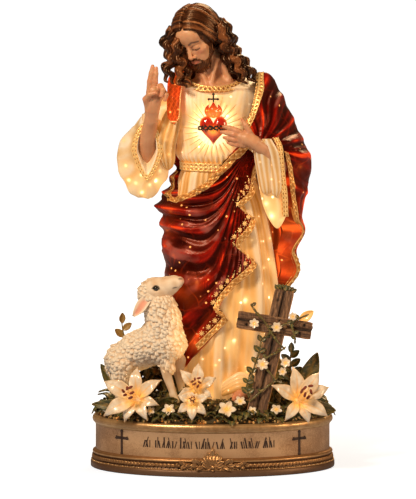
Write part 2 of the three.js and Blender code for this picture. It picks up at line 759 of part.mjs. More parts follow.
// Leaves and petals: pointed blades in their own x-y plane, root at the origin, tip along +y, face up +z
const BLADE_STATIONS = [0.3, 0.72];

// rise gives the blade's height along its length, as a share of it, and keel sinks its rib below its edges.
function blade(length, halfWidth, thick, rise, keel = 0.15) {
  const rings = BLADE_STATIONS.map((t) => {
    const half = halfWidth * Math.sin(Math.PI * t ** 0.9) ** 0.75;
    const [y, z] = [length * t, length * rise(t)];
    const edge = z + keel * half;
    return [[half, y, edge], [0, y, z + thick / 2], [-half, y, edge], [0, y, z - thick / 2]];
  });
  return loft(rings, [[0, 0, 0], [0, length, length * rise(1)]]);
}

// A small flat flower of five petals
function starFlower(radius) {
  const outline = new THREE.Shape();
  steps(10).forEach((k) => {
    const reach = k % 2 ? radius * 0.4 : radius;
    const way = (k / 10) * TAU;
    outline[k ? "lineTo" : "moveTo"](reach * Math.sin(way), reach * Math.cos(way));
  });
  const petals = new THREE.ExtrudeGeometry(outline, { depth: 1.6, bevelEnabled: false });
  return solidOf(petals.translate(0, 0, -0.4));
}

// Lilies: [name, throat, lean back from facing the viewer, turn to the side, petal turns, petal lengths], and
// a petal turns from straight up to the viewer's right
const LILIES = [
  ["lily_left", [-53.5, -47, 54], 18, -14, [-4, 50, 104, 150, 205, 240, 295], [23, 22, 17, 18, 19, 27, 28]],
  ["lily_centre", [-12, -42, 60], 18, 6, [-37, 7, 60, 118, 195, 250], [18, 19.4, 17, 13, 7, 14]],
  ["lily_centre_front", [-14.6, -57, 53.4], 10, 0, [0, 72, 133, 180, 232, 294], [7, 12, 14, 14, 13, 11]],
  ["lily_right", [60.5, -48, 52.6], 18, 12, [-5, 39, 68, 120, 158, 217, 303], [25, 26, 25, 24, 18, 18, 22]],
];
const LILY_TUBE = 13;
const LILY_CURL = (t) => 0.75 * t - 0.72 * t ** 3;

// The trumpet opens from a tube that runs back and down to the bed.
function lily([, throat, lean, turn, ways, lengths]) {
  const aim = pose(at(...throat), turnZ(turn), turnX(90 - lean));
  const root = 2;
  const petals = ways.map((way, k) => {
    const length = lengths[k];
    const petal = blade(length - root, 1 + length * 0.19, 1.5, LILY_CURL, 0.3);
    return moved(petal.translate(0, root, 0).rotate(0, 0, -way), aim);
  });
  const [x, y, z] = throat;
  const seat = [x * 0.96, y + LILY_TUBE, STAND + 1.4, 2.4];
  const tube = limb([[x, y - 3, z, 3.4], [x, y + 3, z - 0.5, 2.8], seat], 5, 3);
  return joined([...petals, aboveStand(tube)]);
}

// The plinth: a moulding profile [inset from the foot, height], carried round an oval
const WALL_INSET = 3.6;
const PLINTH_PROFILE = [
  [0, 0],
  [0, 5],
  [1, 6.4],
  [2.4, 11],
  [1.3, 12.8],
  [WALL_INSET, 13.8],
  [WALL_INSET, 31.8],
  [2.3, 33],
  [2, 35.8],
  [3.2, PLINTH_HEIGHT],
];

function plinth() {
  const around = 34;
  const body = loft(
    PLINTH_PROFILE.map(([inset, z]) =>
      steps(around).map((i) => {
        const turn = (i / around) * TAU;
        const [a, b] = [PLINTH_HALF_WIDTH - inset, PLINTH_HALF_DEPTH - inset];
        return [a * Math.sin(turn), -b * Math.cos(turn), z];
      }),
    ),
  );
  return joined([body, ...cartouche()]);
}

// A place on the plinth's wall, x across and z up, facing outwards.
function onWall(x, z, out) {
  const [a, b] = [PLINTH_HALF_WIDTH - WALL_INSET, PLINTH_HALF_DEPTH - WALL_INSET];
  const turn = Math.asin(x / a);
  const facing = Math.atan2(Math.sin(turn) / a, Math.cos(turn) / b);
  return pose(at(x, -b * Math.cos(turn) - out, z), turnZ(deg(facing)), FACING);
}

// The gilt acanthus at the front: a fan of leaves with smaller ones trailing off to either side.
function cartouche() {
  const acanthus = (x, z, way, length) => {
    const leaf = blade(length, 2, 3.6, (t) => 0.1 * t, 0);
    return moved(leaf, pose(onWall(x, z, 1.2), turnZ(way)));
  };
  const fan = steps(7).map((k) => acanthus(0, 9, -72 + 24 * k, 12.5 - Math.abs(k - 3) * 1.1));
  const trail = (side, k) => acanthus(side * (8 + 8 * k), 10, side * -(62 + 8 * k), 9 - k);
  return [...fan, ...steps(2).flatMap((k) => [trail(-1, k), trail(1, k)])];
}

// The flower bed: a low mound with leaves, twigs and small flowers cast on it
const BED_HALF = [81, 58];
const BED_FLAT = [66, 43];
const BED_FOOT = PLINTH_HEIGHT + CLEARANCE;

// A place on the mound's slope, at a turn from the front and a share of the way from its foot to its top.
function slopePlace(turn, share) {
  const half = [0, 1].map((i) => lerp(BED_HALF[i], BED_FLAT[i], share));
  const bulge = Math.sin(Math.PI * share) * 1.6;
  return [half[0] * Math.sin(turn), -half[1] * Math.cos(turn), lerp(BED_FOOT, BED_TOP, share) + bulge];
}

function bed() {
  const around = 24;
  const ring = (share) => steps(around).map((i) => slopePlace((i / around) * TAU, share));
  const mound = loft([0, 0.4, 1].map(ring));
  const fringe = 16;
  const edging = steps(fringe).map((k) => {
    const turn = ((k + 0.5) / fringe) * TAU;
    const [x, y, z] = slopePlace(turn, 0.75);
    const [aside, up] = k % 2 ? [40, 28] : [-40, 14];
    const aim = pose(at(x, y, z - 1.4), turnZ(180 + deg(turn) + aside), turnX(up));
    return moved(blade(13 + 2 * (k % 3), 4.4, 2.4, (t) => -0.45 * t * t), aim);
  });
  const tall = TALL_LEAVES.map(([root, length, half, lean, turn]) =>
    moved(blade(length, half, 2, (t) => -0.1 * t * t), pose(at(...root), turnY(lean), turnZ(turn), FACING)),
  );
  const whole = joined([mound, ...edging, ...tall, ...twigs(), ...starFlowers()]);
  return whole.subtract(crossSocket()).trimByPlane([0, 0, 1], BED_FOOT);
}

// [root, length, half width, lean to the side, turn]
const TALL_LEAVES = [
  [[-62, 0, 45], 33, 5, -33, 0],
  [[-46, -34, 46], 40, 5, -87, 0],
  [[60, -20, 45], 41, 7, 21, 0],
  [[58, -24, 46], 30, 6, 97, 0],
  [[17, -38, 46], 24, 4.5, -16, 0],
  [[-42, -42, 47], 18, 5, 72, 0],
  [[-58, 28, 46], 24, 6, -30, 180],
  [[-20, 42, 46], 22, 6, -12, 180],
  [[24, 42, 46], 24, 6, 14, 180],
  [[60, 26, 46], 26, 6, 30, 180],
];

// Leafy twigs behind the lamb and behind the cross: [root, tip]
const TWIGS = [
  [[-56, 8, 46], [-63.5, 3, 102]],
  [[54, -16, 46], [57, -24, 84]],
];
function twigs() {
  return TWIGS.flatMap(([root, tip]) => {
    const along = (t) => root.map((v, i) => lerp(v, tip[i], t));
    const stem = limb([[...along(0), 1.4], [...along(0.5), 1.2], [...along(1), 1]], 3, 2);
    const leaves = steps(4).map((k) => {
      const aim = pose(at(...along(0.5 + 0.15 * k)), turnY(k % 2 ? 46 : -44), FACING);
      return moved(blade(11, 3, 1.8, (t) => 0.1 * t), aim);
    });
    return [stem, ...leaves];
  });
}

// Small flowers on the slope in front: [place, radius]
const STARS = [
  [[-31, -51, 45], 4.6],
  [[10, -54, 46], 6.4],
  [[19.5, -47, 51], 4],
  [[-73, -30, 43], 4.6],
  [[45, -48, 46], 4],
];
function starFlowers() {
  return STARS.flatMap(([[x, y, z], radius]) => {
    const stalk = limb([[x, y + 0.4, z, 1.4], [x, y + 4, z - 3, 1.6], [x * 0.98, y + 9, z - 7, 1.8]], 3, 1);
    return [moved(starFlower(radius), pose(at(x, y, z), turnX(56))), stalk];
  });
}

// The finished statuette
const statuette = new THREE.Group();
const KEPT_DETAIL = 0.1;

function add(name, solid, material) {
  const mesh = solid.simplify(KEPT_DETAIL).getMesh();
  const geometry = new THREE.BufferGeometry();
  geometry.setAttribute("position", new THREE.BufferAttribute(Float32Array.from(mesh.vertProperties), 3));
  geometry.setIndex(new THREE.BufferAttribute(Uint32Array.from(mesh.triVerts), 1));
  geometry.computeVertexNormals();
  const piece = new THREE.Mesh(geometry, material);
  piece.name = name;
  statuette.add(piece);
}

add("plinth", plinth(), BRONZE);
add("figure", figure(), PAINTED);
add("lamb", lamb(), FLEECE);
add("wooden_cross", cross(), BARK);
LILIES.forEach((row) => add(row[0], lily(row), PETAL));
add("flower_bed", bed(), LEAF);

export default statuette;
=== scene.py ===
"""The looks of the shepherd statuette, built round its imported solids.

Lengths in this file are millimetres, and `piece` turns them to metres. The viewer looks along +Y.
"""
import math

import bpy
import numpy as np
from mathutils import Matrix, Vector


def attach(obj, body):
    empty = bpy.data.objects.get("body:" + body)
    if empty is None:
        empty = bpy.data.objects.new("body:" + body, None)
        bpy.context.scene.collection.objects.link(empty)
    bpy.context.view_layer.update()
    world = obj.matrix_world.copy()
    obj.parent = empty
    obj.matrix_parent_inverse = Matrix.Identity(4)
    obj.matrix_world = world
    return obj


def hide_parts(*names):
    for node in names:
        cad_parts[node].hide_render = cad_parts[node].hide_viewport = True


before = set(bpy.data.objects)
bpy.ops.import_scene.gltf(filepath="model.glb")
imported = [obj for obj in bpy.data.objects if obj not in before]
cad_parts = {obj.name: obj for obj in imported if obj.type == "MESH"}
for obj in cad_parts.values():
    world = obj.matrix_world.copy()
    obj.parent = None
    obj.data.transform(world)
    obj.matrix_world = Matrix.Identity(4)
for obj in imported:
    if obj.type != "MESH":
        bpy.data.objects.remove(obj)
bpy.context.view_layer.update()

# Sizes carried over from the solids: the height of the bed's top, half the plinth's width and depth
# at its foot, how far its wall is set in from the foot, and the heart's middle
STAND = 49.3
PLINTH_HALF = (87.3, 64.5)
WALL_INSET = 3.6
HEART = np.array([0.5, -19.5, 242.7])
TAU = 2 * math.pi
# The upright axis that the robed body stands round, and the columns of points across every trim
FIGURE_AXIS = (3.0, 8.0)
TRIM_ACROSS = 14


# Small sums
def rad(degrees):
    return np.radians(degrees)


def ease(low, high, x):
    """From 0 at `low` to 1 at `high`, with soft ends."""
    t = np.clip((np.asarray(x, float) - low) / (high - low), 0, 1)
    return t * t * (3 - 2 * t)


def bump(x, middle, width):
    """1 at the middle, falling to nought on both sides."""
    return np.exp(-(((np.asarray(x, float) - middle) / width) ** 2))


def keyed(rows, place):
    """Rows of [place, value, ...] read as smooth curves that pass through every row."""
    rows = np.asarray(rows, float)
    last = len(rows) - 1
    t = np.clip(np.asarray(place, float), rows[0, 0], rows[last, 0])
    k = np.clip(np.searchsorted(rows[:, 0], t) - 1, 0, last - 1)
    a, b = rows[k], rows[k + 1]
    before, after = rows[np.maximum(0, k - 1)], rows[np.minimum(last, k + 2)]
    span = b[..., :1] - a[..., :1]
    s = (t[..., None] - a[..., :1]) / span
    slope_a = (b - before) / (b[..., :1] - before[..., :1]) * span
    slope_b = (after - a) / (after[..., :1] - a[..., :1]) * span
    s2, s3 = s * s, s * s * s
    made = (2 * s3 - 3 * s2 + 1) * a + (s3 - 2 * s2 + s) * slope_a
    made = made + (3 * s2 - 2 * s3) * b + (s3 - s2) * slope_b
    return np.moveaxis(made[..., 1:], -1, 0)


def straight(rows, place):
    """Rows of [place, value, ...] joined by straight lines."""
    rows = np.asarray(rows, float)
    return np.array([np.interp(place, rows[:, 0], rows[:, c]) for c in range(1, rows.shape[1])])


def ridge(phase):
    """A cloth fold across a phase: a narrow raised ridge between broad hollows, from 0 to 0.8."""
    return 1 - np.sqrt(np.sin(np.asarray(phase) / 2) ** 2 * 0.96 + 0.04)


def ripple(points, size, seed=0):
    """Soft unevenness, about -1 to 1, with bumps about `size` across. The seed settles it."""
    draw = np.random.default_rng(seed)
    total = 0
    for _ in range(7):
        way = draw.normal(size=3)
        way *= TAU / size * draw.uniform(0.6, 1.5) / np.linalg.norm(way)
        total = total + np.sin(points @ way + draw.uniform(0, TAU))
    return total / 3.4


def unit(vectors):
    return vectors / np.maximum(np.linalg.norm(vectors, axis=-1, keepdims=True), 1e-9)


def lengths_along(path):
    """How far along a path each of its points lies."""
    return np.concatenate([[0], np.cumsum(np.linalg.norm(np.diff(path, axis=0), axis=1))])


def shares(rows, cols):
    """The share of the way down, and the share across, for each point of a grid."""
    return (np.linspace(0, 1, rows)[:, None] * np.ones(cols), np.linspace(0, 1, cols)
            * np.ones((rows, 1)))


def shares_round(rows, cols):
    """The share of the way down, and the angle round, in a grid that closes on itself."""
    return shares(rows, cols)[0], np.arange(cols) * TAU / cols * np.ones((rows, 1))


def mirrored(points, axis):
    """The points with one coordinate made positive, for a shape with two like sides."""
    made = points.copy()
    made[..., axis] = np.abs(made[..., axis])
    return made


# Places: each is one turn, shift or size
def at(x, y, z):
    return Matrix.Translation((x, y, z))


def turn_x(degrees):
    return Matrix.Rotation(math.radians(degrees), 4, "X")


def turn_y(degrees):
    return Matrix.Rotation(math.radians(degrees), 4, "Y")


def turn_z(degrees):
    return Matrix.Rotation(math.radians(degrees), 4, "Z")


def sized(x, y=None, z=None):
    return Matrix.Diagonal((x, x if y is None else y, x if z is None else z, 1))


def pose(*parts):
    """Turns and shifts in one, the last one done first."""
    whole = Matrix.Identity(4)
    for part in parts:
        whole = whole @ part
    return whole


def facing(way, up=(0, 0, 1)):
    """A turn that takes +z to `way` and keeps +y as near to `up` as it can."""
    z = Vector(way).normalized()
    x = Vector(up).cross(z)
    x = x.normalized() if x.length > 1e-6 else Vector((1, 0, 0))
    return Matrix((x, z.cross(x), z)).transposed().to_4x4()


def carried(points, matrix):
    m = np.array(matrix)
    return points @ m[:3, :3].T + m[:3, 3]


# Forms: points with faces, and marks that a finish reads, one number for each point
class Form:
    def __init__(self, points, faces, **marks):
        self.points = np.asarray(points, float).reshape(-1, 3)
        faces = faces if isinstance(faces, list) else [faces]
        self.faces = [np.asarray(f, np.int64) for f in faces if len(f)]
        self.marks = {key: np.broadcast_to(np.asarray(value, float).ravel(),
                                           len(self.points)).copy() if np.size(value) == 1
                      else np.asarray(value, float).ravel() for key, value in marks.items()}

    def placed(self, matrix, **marks):
        return Form(carried(self.points, matrix), self.faces, **{**self.marks, **marks})

    def normals(self):
        total = np.zeros_like(self.points)
        for f in self.faces:
            across = self.points[f[:, 2]] - self.points[f[:, 0]]
            along = self.points[f[:, -1]] - self.points[f[:, 1]]
            face = np.cross(across, along)
            for c in range(f.shape[1]):
                np.add.at(total, f[:, c], face)
        return unit(total)

    def volume(self):
        p = self.points - self.points.mean(0)
        total = 0
        for f in self.faces:
            for k in range(1, f.shape[1] - 1):
                total += np.einsum("ij,ij->", p[f[:, 0]], np.cross(p[f[:, k]], p[f[:, k + 1]]))
        return total / 6


def together(forms):
    """Forms made one. A mark that a form doesn't have is nought there."""
    forms = list(forms)
    starts = np.cumsum([0] + [len(form.points) for form in forms])
    widths = sorted({f.shape[1] for form in forms for f in form.faces})
    faces = [np.vstack([f + start for form, start in zip(forms, starts) for f in form.faces
                        if f.shape[1] == w]) for w in widths]
    keys = {key for form in forms for key in form.marks}
    marks = {key: np.concatenate([form.marks.get(key, np.zeros(len(form.points)))
                                  for form in forms]) for key in keys}
    return Form(np.vstack([form.points for form in forms]), faces, **marks)


def outward(form):
    """The form with its faces turned to point out of it."""
    if form.volume() < 0:
        form.faces = [f[:, ::-1] for f in form.faces]
    return form


def grid_faces(rows, cols, closed=False):
    r, c = np.mgrid[0 : rows - 1, 0 : cols if closed else cols - 1]
    a, b = r * cols + c, r * cols + (c + 1) % cols
    return np.stack([a, b, b + cols, a + cols], -1).reshape(-1, 4)


def shell(front, back, **marks):
    """Two grids of points, front and back, closed all round their edge."""
    rows, cols = front.shape[:2]
    faces = grid_faces(rows, cols)
    half = rows * cols
    place = np.arange(half).reshape(rows, cols)
    edge = np.concatenate([place[0, :-1], place[:-1, -1], place[-1, :0:-1], place[:0:-1, 0]])
    after = np.roll(edge, -1)
    walls = np.stack([after, edge, edge + half, after + half], -1)
    points = np.vstack([front.reshape(-1, 3), back.reshape(-1, 3)])
    both = {key: np.tile(np.asarray(value, float).ravel(), 2) for key, value in marks.items()}
    return outward(Form(points, [faces, faces[:, ::-1] + half, walls], **both))


def loft(rings, tips=(None, None), **marks):
    """Rings of equal length, skinned one to the next and closed at each end on a point."""
    rings = np.asarray(rings, float)
    rows, cols = rings.shape[:2]
    ends = [tips[0] if tips[0] is not None else rings[0].mean(0), tips[1] if tips[1] is not None
            else rings[-1].mean(0)]
    points = np.vstack([rings.reshape(-1, 3), ends])
    c = np.arange(cols)
    n = (c + 1) % cols
    first = np.stack([n, c, np.full(cols, rows * cols)], -1)
    last = (np.stack([c, n, np.full(cols, rows * cols + 1)], -1)
            + [(rows - 1) * cols, (rows - 1) * cols, 0])
    full = {key: np.concatenate([np.broadcast_to(v, (rows, cols)).ravel(), [np.mean(v)] * 2])
            for key, v in marks.items()}
    return outward(Form(points, [grid_faces(rows, cols, True), first, last], **full))


def through(keys, count):
    """A smooth path of `count` points through key points."""
    keys = np.asarray(keys, float)
    run = lengths_along(keys)
    rows = np.column_stack([run / run[-1], keys])
    return keyed(rows, np.linspace(0, 1, count)).T


def frames_along(path, lead=(0, 0, 1)):
    """The way on at each point of a path, and two ways across that turn as little as they can."""
    ways = unit(np.gradient(path, axis=0))
    side = np.zeros_like(path)
    now = np.asarray(lead, float)
    for i, way in enumerate(ways):
        now = now - way * (now @ way)
        size = np.linalg.norm(now)
        now = now / size if size > 1e-6 else unit(np.cross(way, [0.3, 1, 0.2]))
        side[i] = now
    return ways, side, np.cross(ways, side)


def tube(path, radius, sides=6, flat=1.0, lead=(0, 0, 1), **marks):
    """A round or flattened tube along a path, with a radius for each point of it."""
    path = np.asarray(path, float)
    radius = np.broadcast_to(np.asarray(radius, float), len(path))
    ways, side, other = frames_along(path, lead)
    a = np.arange(sides) * TAU / sides
    ring = (np.cos(a)[None, :, None] * side[:, None] * flat + np.sin(a)[None, :, None]
            * other[:, None])
    rings = path[:, None] + ring * radius[:, None, None]
    tips = (path[0] - ways[0] * radius[0] * 0.5, path[-1] + ways[-1] * radius[-1] * 0.5)
    rows = {key: np.broadcast_to(np.asarray(v, float), len(path))[:, None] * np.ones(sides)
            for key, v in marks.items()}
    return loft(rings, tips, **rows)


# Forms modelled by hand tools and then read off
def fresh():
    """Leaves nothing picked, ready for the next tool."""
    bpy.ops.object.select_all(action="DESELECT")


def read_off(made):
    """The points and faces of a modelled object, which is then taken away."""
    mesh = made.data
    points = np.zeros(len(mesh.vertices) * 3)
    mesh.vertices.foreach_get("co", points)
    made_faces = {}
    for polygon in mesh.polygons:
        made_faces.setdefault(len(polygon.vertices), []).append(list(polygon.vertices))
    form = Form(points, [np.array(f) for _, f in sorted(made_faces.items())])
    bpy.data.objects.remove(made)
    bpy.data.meshes.remove(mesh)
    return form


def with_modifier(made, kind, **settings):
    """Adds a modifier to the object in hand and applies it."""
    bpy.ops.object.modifier_add(type=kind)
    modifier = made.modifiers[-1]
    for key, value in settings.items():
        setattr(modifier, key, value)
    bpy.ops.object.modifier_apply(modifier=modifier.name)


def edit_all(*steps):
    """Runs edit-mode tools over the whole of the object in hand."""
    bpy.ops.object.mode_set(mode="EDIT")
    bpy.ops.mesh.select_all(action="SELECT")
    for step in steps:
        step()
    bpy.ops.object.mode_set(mode="OBJECT")


def reshaped(made, change):
    """Moves each point of an object by a rule that takes and gives an array of points."""
    points = np.zeros(len(made.data.vertices) * 3)
    made.data.vertices.foreach_get("co", points)
    made.data.vertices.foreach_set("co", change(points.reshape(-1, 3)).ravel())
    made.data.update()


# Finished pieces
def piece(name, form, finish, node, sharp=None):
    """One finished piece in metres that stands for a node of the frame."""
    mesh = bpy.data.meshes.new(name)
    corners = np.concatenate([f.ravel() for f in form.faces]).astype(np.int32)
    widths = np.concatenate([np.full(len(f), f.shape[1]) for f in form.faces])
    mesh.vertices.add(len(form.points))
    mesh.vertices.foreach_set("co", (form.points * 0.001).astype(np.float32).ravel())
    mesh.loops.add(len(corners))
    mesh.loops.foreach_set("vertex_index", corners)
    mesh.polygons.add(len(widths))
    mesh.polygons.foreach_set("loop_start",
                              np.concatenate([[0], np.cumsum(widths)[:-1]]).astype(np.int32))
    mesh.polygons.foreach_set("use_smooth", np.ones(len(widths), bool))
    for key, values in form.marks.items():
        mesh.attributes.new(key, "FLOAT", "POINT").data.foreach_set("value",
                                                                    values.astype(np.float32))
    mesh.update(calc_edges=True)
    mesh.validate()
    if sharp:
        mesh.set_sharp_from_angle(angle=math.radians(sharp))
    mesh.materials.append(finish)
    made = bpy.data.objects.new(name, mesh)
    bpy.context.scene.collection.objects.link(made)
    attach(made, "root")
    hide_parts(node)


# Rounded solids from distance fields: each field is below nought inside
def ball_field(p, centre, half):
    d = (p - np.asarray(centre, np.float32)) / np.asarray(half, np.float32)
    far = np.sqrt((d * d).sum(-1))
    return (far - 1) * float(np.min(half))


def rod_field(p, a, b, radius_a, radius_b=None):
    a, b = np.asarray(a, np.float32), np.asarray(b, np.float32)
    way = b - a
    t = np.clip(((p - a) @ way) / float(way @ way), 0, 1)
    near = np.linalg.norm(p - a - t[..., None] * way, axis=-1)
    return near - (radius_a + ((radius_b or radius_a) - radius_a) * t)


def chain_field(p, keys):
    """Rods through keys of [x, y, z, radius]."""
    made = None
    for a, b in zip(keys, keys[1:]):
        rod = rod_field(p, a[:3], b[:3], a[3], b[3])
        made = rod if made is None else np.minimum(made, rod)
    return made


def melt(a, b, reach):
    """Two fields joined with a soft fillet."""
    h = np.clip(0.5 + 0.5 * (b - a) / reach, 0, 1)
    return b * (1 - h) + a * h - reach * h * (1 - h)


def carve(a, b, reach):
    """The first field with the second one taken out of it, softly."""
    return -melt(-a, b, reach)


def field_form(field, low, high, step):
    """The skin of a field in a box, as a form of four-sided faces."""
    axes = [np.arange(a, b + step, step, dtype=np.float32) for a, b in zip(low, high)]
    grid = np.stack(np.meshgrid(*axes, indexing="ij"), -1)
    value = np.concatenate([field(grid[i : i + 24]) for i in range(0, len(axes[0]), 24)])
    inside = value < 0
    size = [len(a) - 1 for a in axes]
    corner = [(i, j, k) for i in (0, 1) for j in (0, 1) for k in (0, 1)]
    part = lambda a, c: a[c[0] : c[0] + size[0], c[1] : c[1] + size[1], c[2] : c[2] + size[2]]
    total = sum(part(inside, c).astype(np.int8) for c in corner)
    active = (total > 0) & (total < 8)
    cells = np.argwhere(active)
    index = np.full(active.shape, -1, np.int64)
    index[active] = np.arange(len(cells))
    at_corner = np.stack([part(value, c)[active] for c in corner], -1)
    spots = np.array(corner, np.float32)
    found, hits = np.zeros((len(cells), 3)), np.zeros((len(cells), 1))
    for a in range(8):
        for b in range(a + 1, 8):
            if np.abs(spots[a] - spots[b]).sum() != 1:
                continue
            fa, fb = at_corner[:, a], at_corner[:, b]
            cross = ((fa < 0) != (fb < 0))[:, None]
            t = (fa / np.where(fa == fb, 1, fa - fb))[:, None]
            found += np.where(cross, spots[a] + t * (spots[b] - spots[a]), 0)
            hits += cross
    points = np.asarray(low) + (cells + found / np.maximum(hits, 1)) * step
    faces = []
    for axis in range(3):
        ahead = [slice(None)] * 3
        ahead[axis] = slice(1, None)
        behind = [slice(None)] * 3
        behind[axis] = slice(None, -1)
        here, there = inside[tuple(behind)], inside[tuple(ahead)]
        u, v = [(1, 2), (2, 0), (0, 1)][axis]
        edges = np.argwhere(here != there)
        keep = ((edges[:, u] > 0) & (edges[:, v] > 0) & (edges[:, u] < size[u])
                & (edges[:, v] < size[v]))
        edges = edges[keep]
        step_u, step_v = np.eye(3, dtype=int)[u], np.eye(3, dtype=int)[v]
        round_edge = [edges - step_u - step_v, edges - step_v, edges, edges - step_u]
        quads = np.stack([index[tuple(e.T)] for e in round_edge], -1)
        flip = ~here[tuple(edges.T)]
        quads[flip] = quads[flip][:, ::-1]
        faces.append(quads)
    return Form(points, np.vstack(faces))


# Finishes
class Board:
    """A node tree with short ways to put in a node and to join it up."""

    def __init__(self, tree):
        self.tree = tree

    def add(self, kind, feeds=None, **settings):
        node = self.tree.nodes.new(kind)
        for key, value in settings.items():
            setattr(node, key, value)
        for key, value in (feeds or {}).items():
            self.feed(node.inputs[key], value)
        return node

    def feed(self, socket, value):
        if isinstance(value, bpy.types.NodeSocket):
            self.tree.links.new(value, socket)
        else:
            socket.default_value = ((*value, 1.0) if isinstance(value, tuple)
                                    and socket.type == "RGBA" else value)

    def sum(self, operation, a, b=0.0, clamp=False):
        return self.add("ShaderNodeMath", {0: a, 1: b}, operation=operation,
                        use_clamp=clamp).outputs[0]

    def plus(self, a, b, clamp=False):
        return self.sum("ADD", a, b, clamp)

    def less(self, a, b, clamp=False):
        return self.sum("SUBTRACT", a, b, clamp)

    def times(self, a, b, clamp=False):
        return self.sum("MULTIPLY", a, b, clamp)

    def uneven(self, value, noise, size, clamp=False):
        """A value with a noise added that swings to both sides of nought."""
        return self.plus(value, self.times(self.less(noise, 0.5), size), clamp)

    def place(self):
        return self.add("ShaderNodeTexCoord").outputs["Object"]

    def mark(self, name):
        return self.add("ShaderNodeAttribute", attribute_name=name).outputs["Fac"]

    def noise(self, scale, detail=3.0, roughness=0.55, distortion=0.0, where=None):
        feeds = {"Scale": scale, "Detail": detail, "Roughness": roughness, "Distortion": distortion}
        return self.add("ShaderNodeTexNoise", {"Vector": where
                                               or self.place(), **feeds}).outputs["Fac"]

    def ramp(self, value, *stops):
        node = self.add("ShaderNodeValToRGB", {"Fac": value})
        cells = node.color_ramp.elements
        for k, (spot, colour) in enumerate(stops):
            cell = cells[k] if k < 2 else cells.new(spot)
            cell.position = spot
            cell.color = ((*colour, 1.0) if isinstance(colour, tuple)
                          else (colour, colour, colour, 1.0))
        return node.outputs["Color"]

    def mix(self, share, a, b, blend="MIX"):
        node = self.add("ShaderNodeMix", data_type="RGBA", blend_type=blend)
        for key, value in (("Factor", share), ("A", a), ("B", b)):
            sockets = [s for s in node.inputs if s.name == key and s.enabled]
            self.feed(sockets[0], value)
        return [s for s in node.outputs if s.enabled][0]

    def dyed(self, a, b):
        return self.mix(1.0, a, b, "MULTIPLY")

    def both(self, a, b):
        return self.mix(1.0, a, b, "ADD")

    def group(self, tree, **feeds):
        node = self.add("ShaderNodeGroup", node_tree=tree)
        for key, value in feeds.items():
            self.feed(node.inputs[key.replace("_", " ")], value)
        return node.outputs


def effect(name, inputs, outputs):
    """A shared node group: its tree, its board, and where its inputs come in and go out."""
    tree = bpy.data.node_groups.new(name, "ShaderNodeTree")
    for side, sockets in (("INPUT", inputs), ("OUTPUT", outputs)):
        for label, value in sockets:
            kind = "NodeSocketColor" if isinstance(value, tuple) else "NodeSocketFloat"
            socket = tree.interface.new_socket(label, in_out=side, socket_type=kind)
            if side == "INPUT":
                socket.default_value = (*value, 1.0) if isinstance(value, tuple) else value
    board = Board(tree)
    entry, leave = board.add("NodeGroupInput"), board.add("NodeGroupOutput")
    return tree, board, entry.outputs, leave.inputs


def make_sparks():
    """Small glowing points scattered through cast resin, each with a soft halo: painted glints."""
    tree, b, take, give = effect("Sparks", [("Scale", 150.0), ("Size", 0.1), ("Share", 0.4)],
                                 [("Points", 0.0), ("Halo", 0.0)])
    cell = b.add("ShaderNodeTexVoronoi", {"Vector": b.place(), "Scale": take["Scale"],
                                          "Randomness": 1.0})
    chosen = b.sum("LESS_THAN", b.add("ShaderNodeSeparateColor",
                                      {"Color": cell.outputs["Color"]}).outputs[0], take["Share"])
    near = b.sum("DIVIDE", cell.outputs["Distance"], take["Size"])
    core = b.less(1.0, near, clamp=True)
    halo = b.less(1.0, b.times(near, 0.3), clamp=True)
    b.feed(give["Points"], b.times(b.sum("POWER", core, 0.6), chosen))
    b.feed(give["Halo"], b.times(b.sum("POWER", halo, 3.0), chosen))
    return tree


def make_grain():
    """A fine cast grain: an uneven value and a height."""
    tree, b, take, give = effect("Cast grain", [("Scale", 900.0), ("Broad", 60.0)],
                                 [("Value", 0.0), ("Height", 0.0)])
    fine, broad = b.noise(take["Scale"], detail=4.0,
                          roughness=0.7), b.noise(take["Broad"], detail=3.0, roughness=0.5)
    b.feed(give["Value"], b.plus(b.times(fine, 0.45), b.times(broad, 0.55)))
    b.feed(give["Height"], fine)
    return tree


def make_gilding():
    """Gilding over relief: bright on what stands up, browned in the hollows."""
    tree, b, take, give = effect("Gilding", [("Relief", 0.5), ("Hollow", (0.13, 0.035, 0.01)),
                                             ("Middle", (0.5, 0.2, 0.04)),
                                             ("Bright", (0.95, 0.62, 0.24))],
                                 [("Color", (0.0, 0.0, 0.0)), ("Roughness", 0.0)])
    worn = b.noise(260.0, detail=5.0, roughness=0.65)
    high = b.uneven(take["Relief"], worn, 0.5, clamp=True)
    low = b.mix(b.times(high, 2.0, clamp=True), take["Hollow"], take["Middle"])
    top = b.less(b.times(high, 2.0), 1.0, clamp=True)
    b.feed(give["Color"], b.mix(top, low, take["Bright"]))
    b.feed(give["Roughness"], b.less(0.5, b.times(high, 0.22)))
    return tree


SPARKS, GRAIN, GILDING = make_sparks(), make_grain(), make_gilding()


def finish(name, build, **settings):
    """A material: `build` gives the shader's feeds, and the settings are plain values."""
    material = bpy.data.materials.new(name)
    material.use_nodes = True
    board = Board(material.node_tree)
    shader = material.node_tree.nodes["Principled BSDF"]
    for key, value in settings.items():
        board.feed(shader.inputs[key.replace("_", " ")], value)
    for key, value in build(board).items():
        board.feed(shader.inputs[key.replace("_", " ")], value)
    return material


def bumped(b, height, strength=0.3, distance=0.0003):
    return b.add("ShaderNodeBump", {"Height": height, "Strength": strength,
                                    "Distance": distance}).outputs["Normal"]


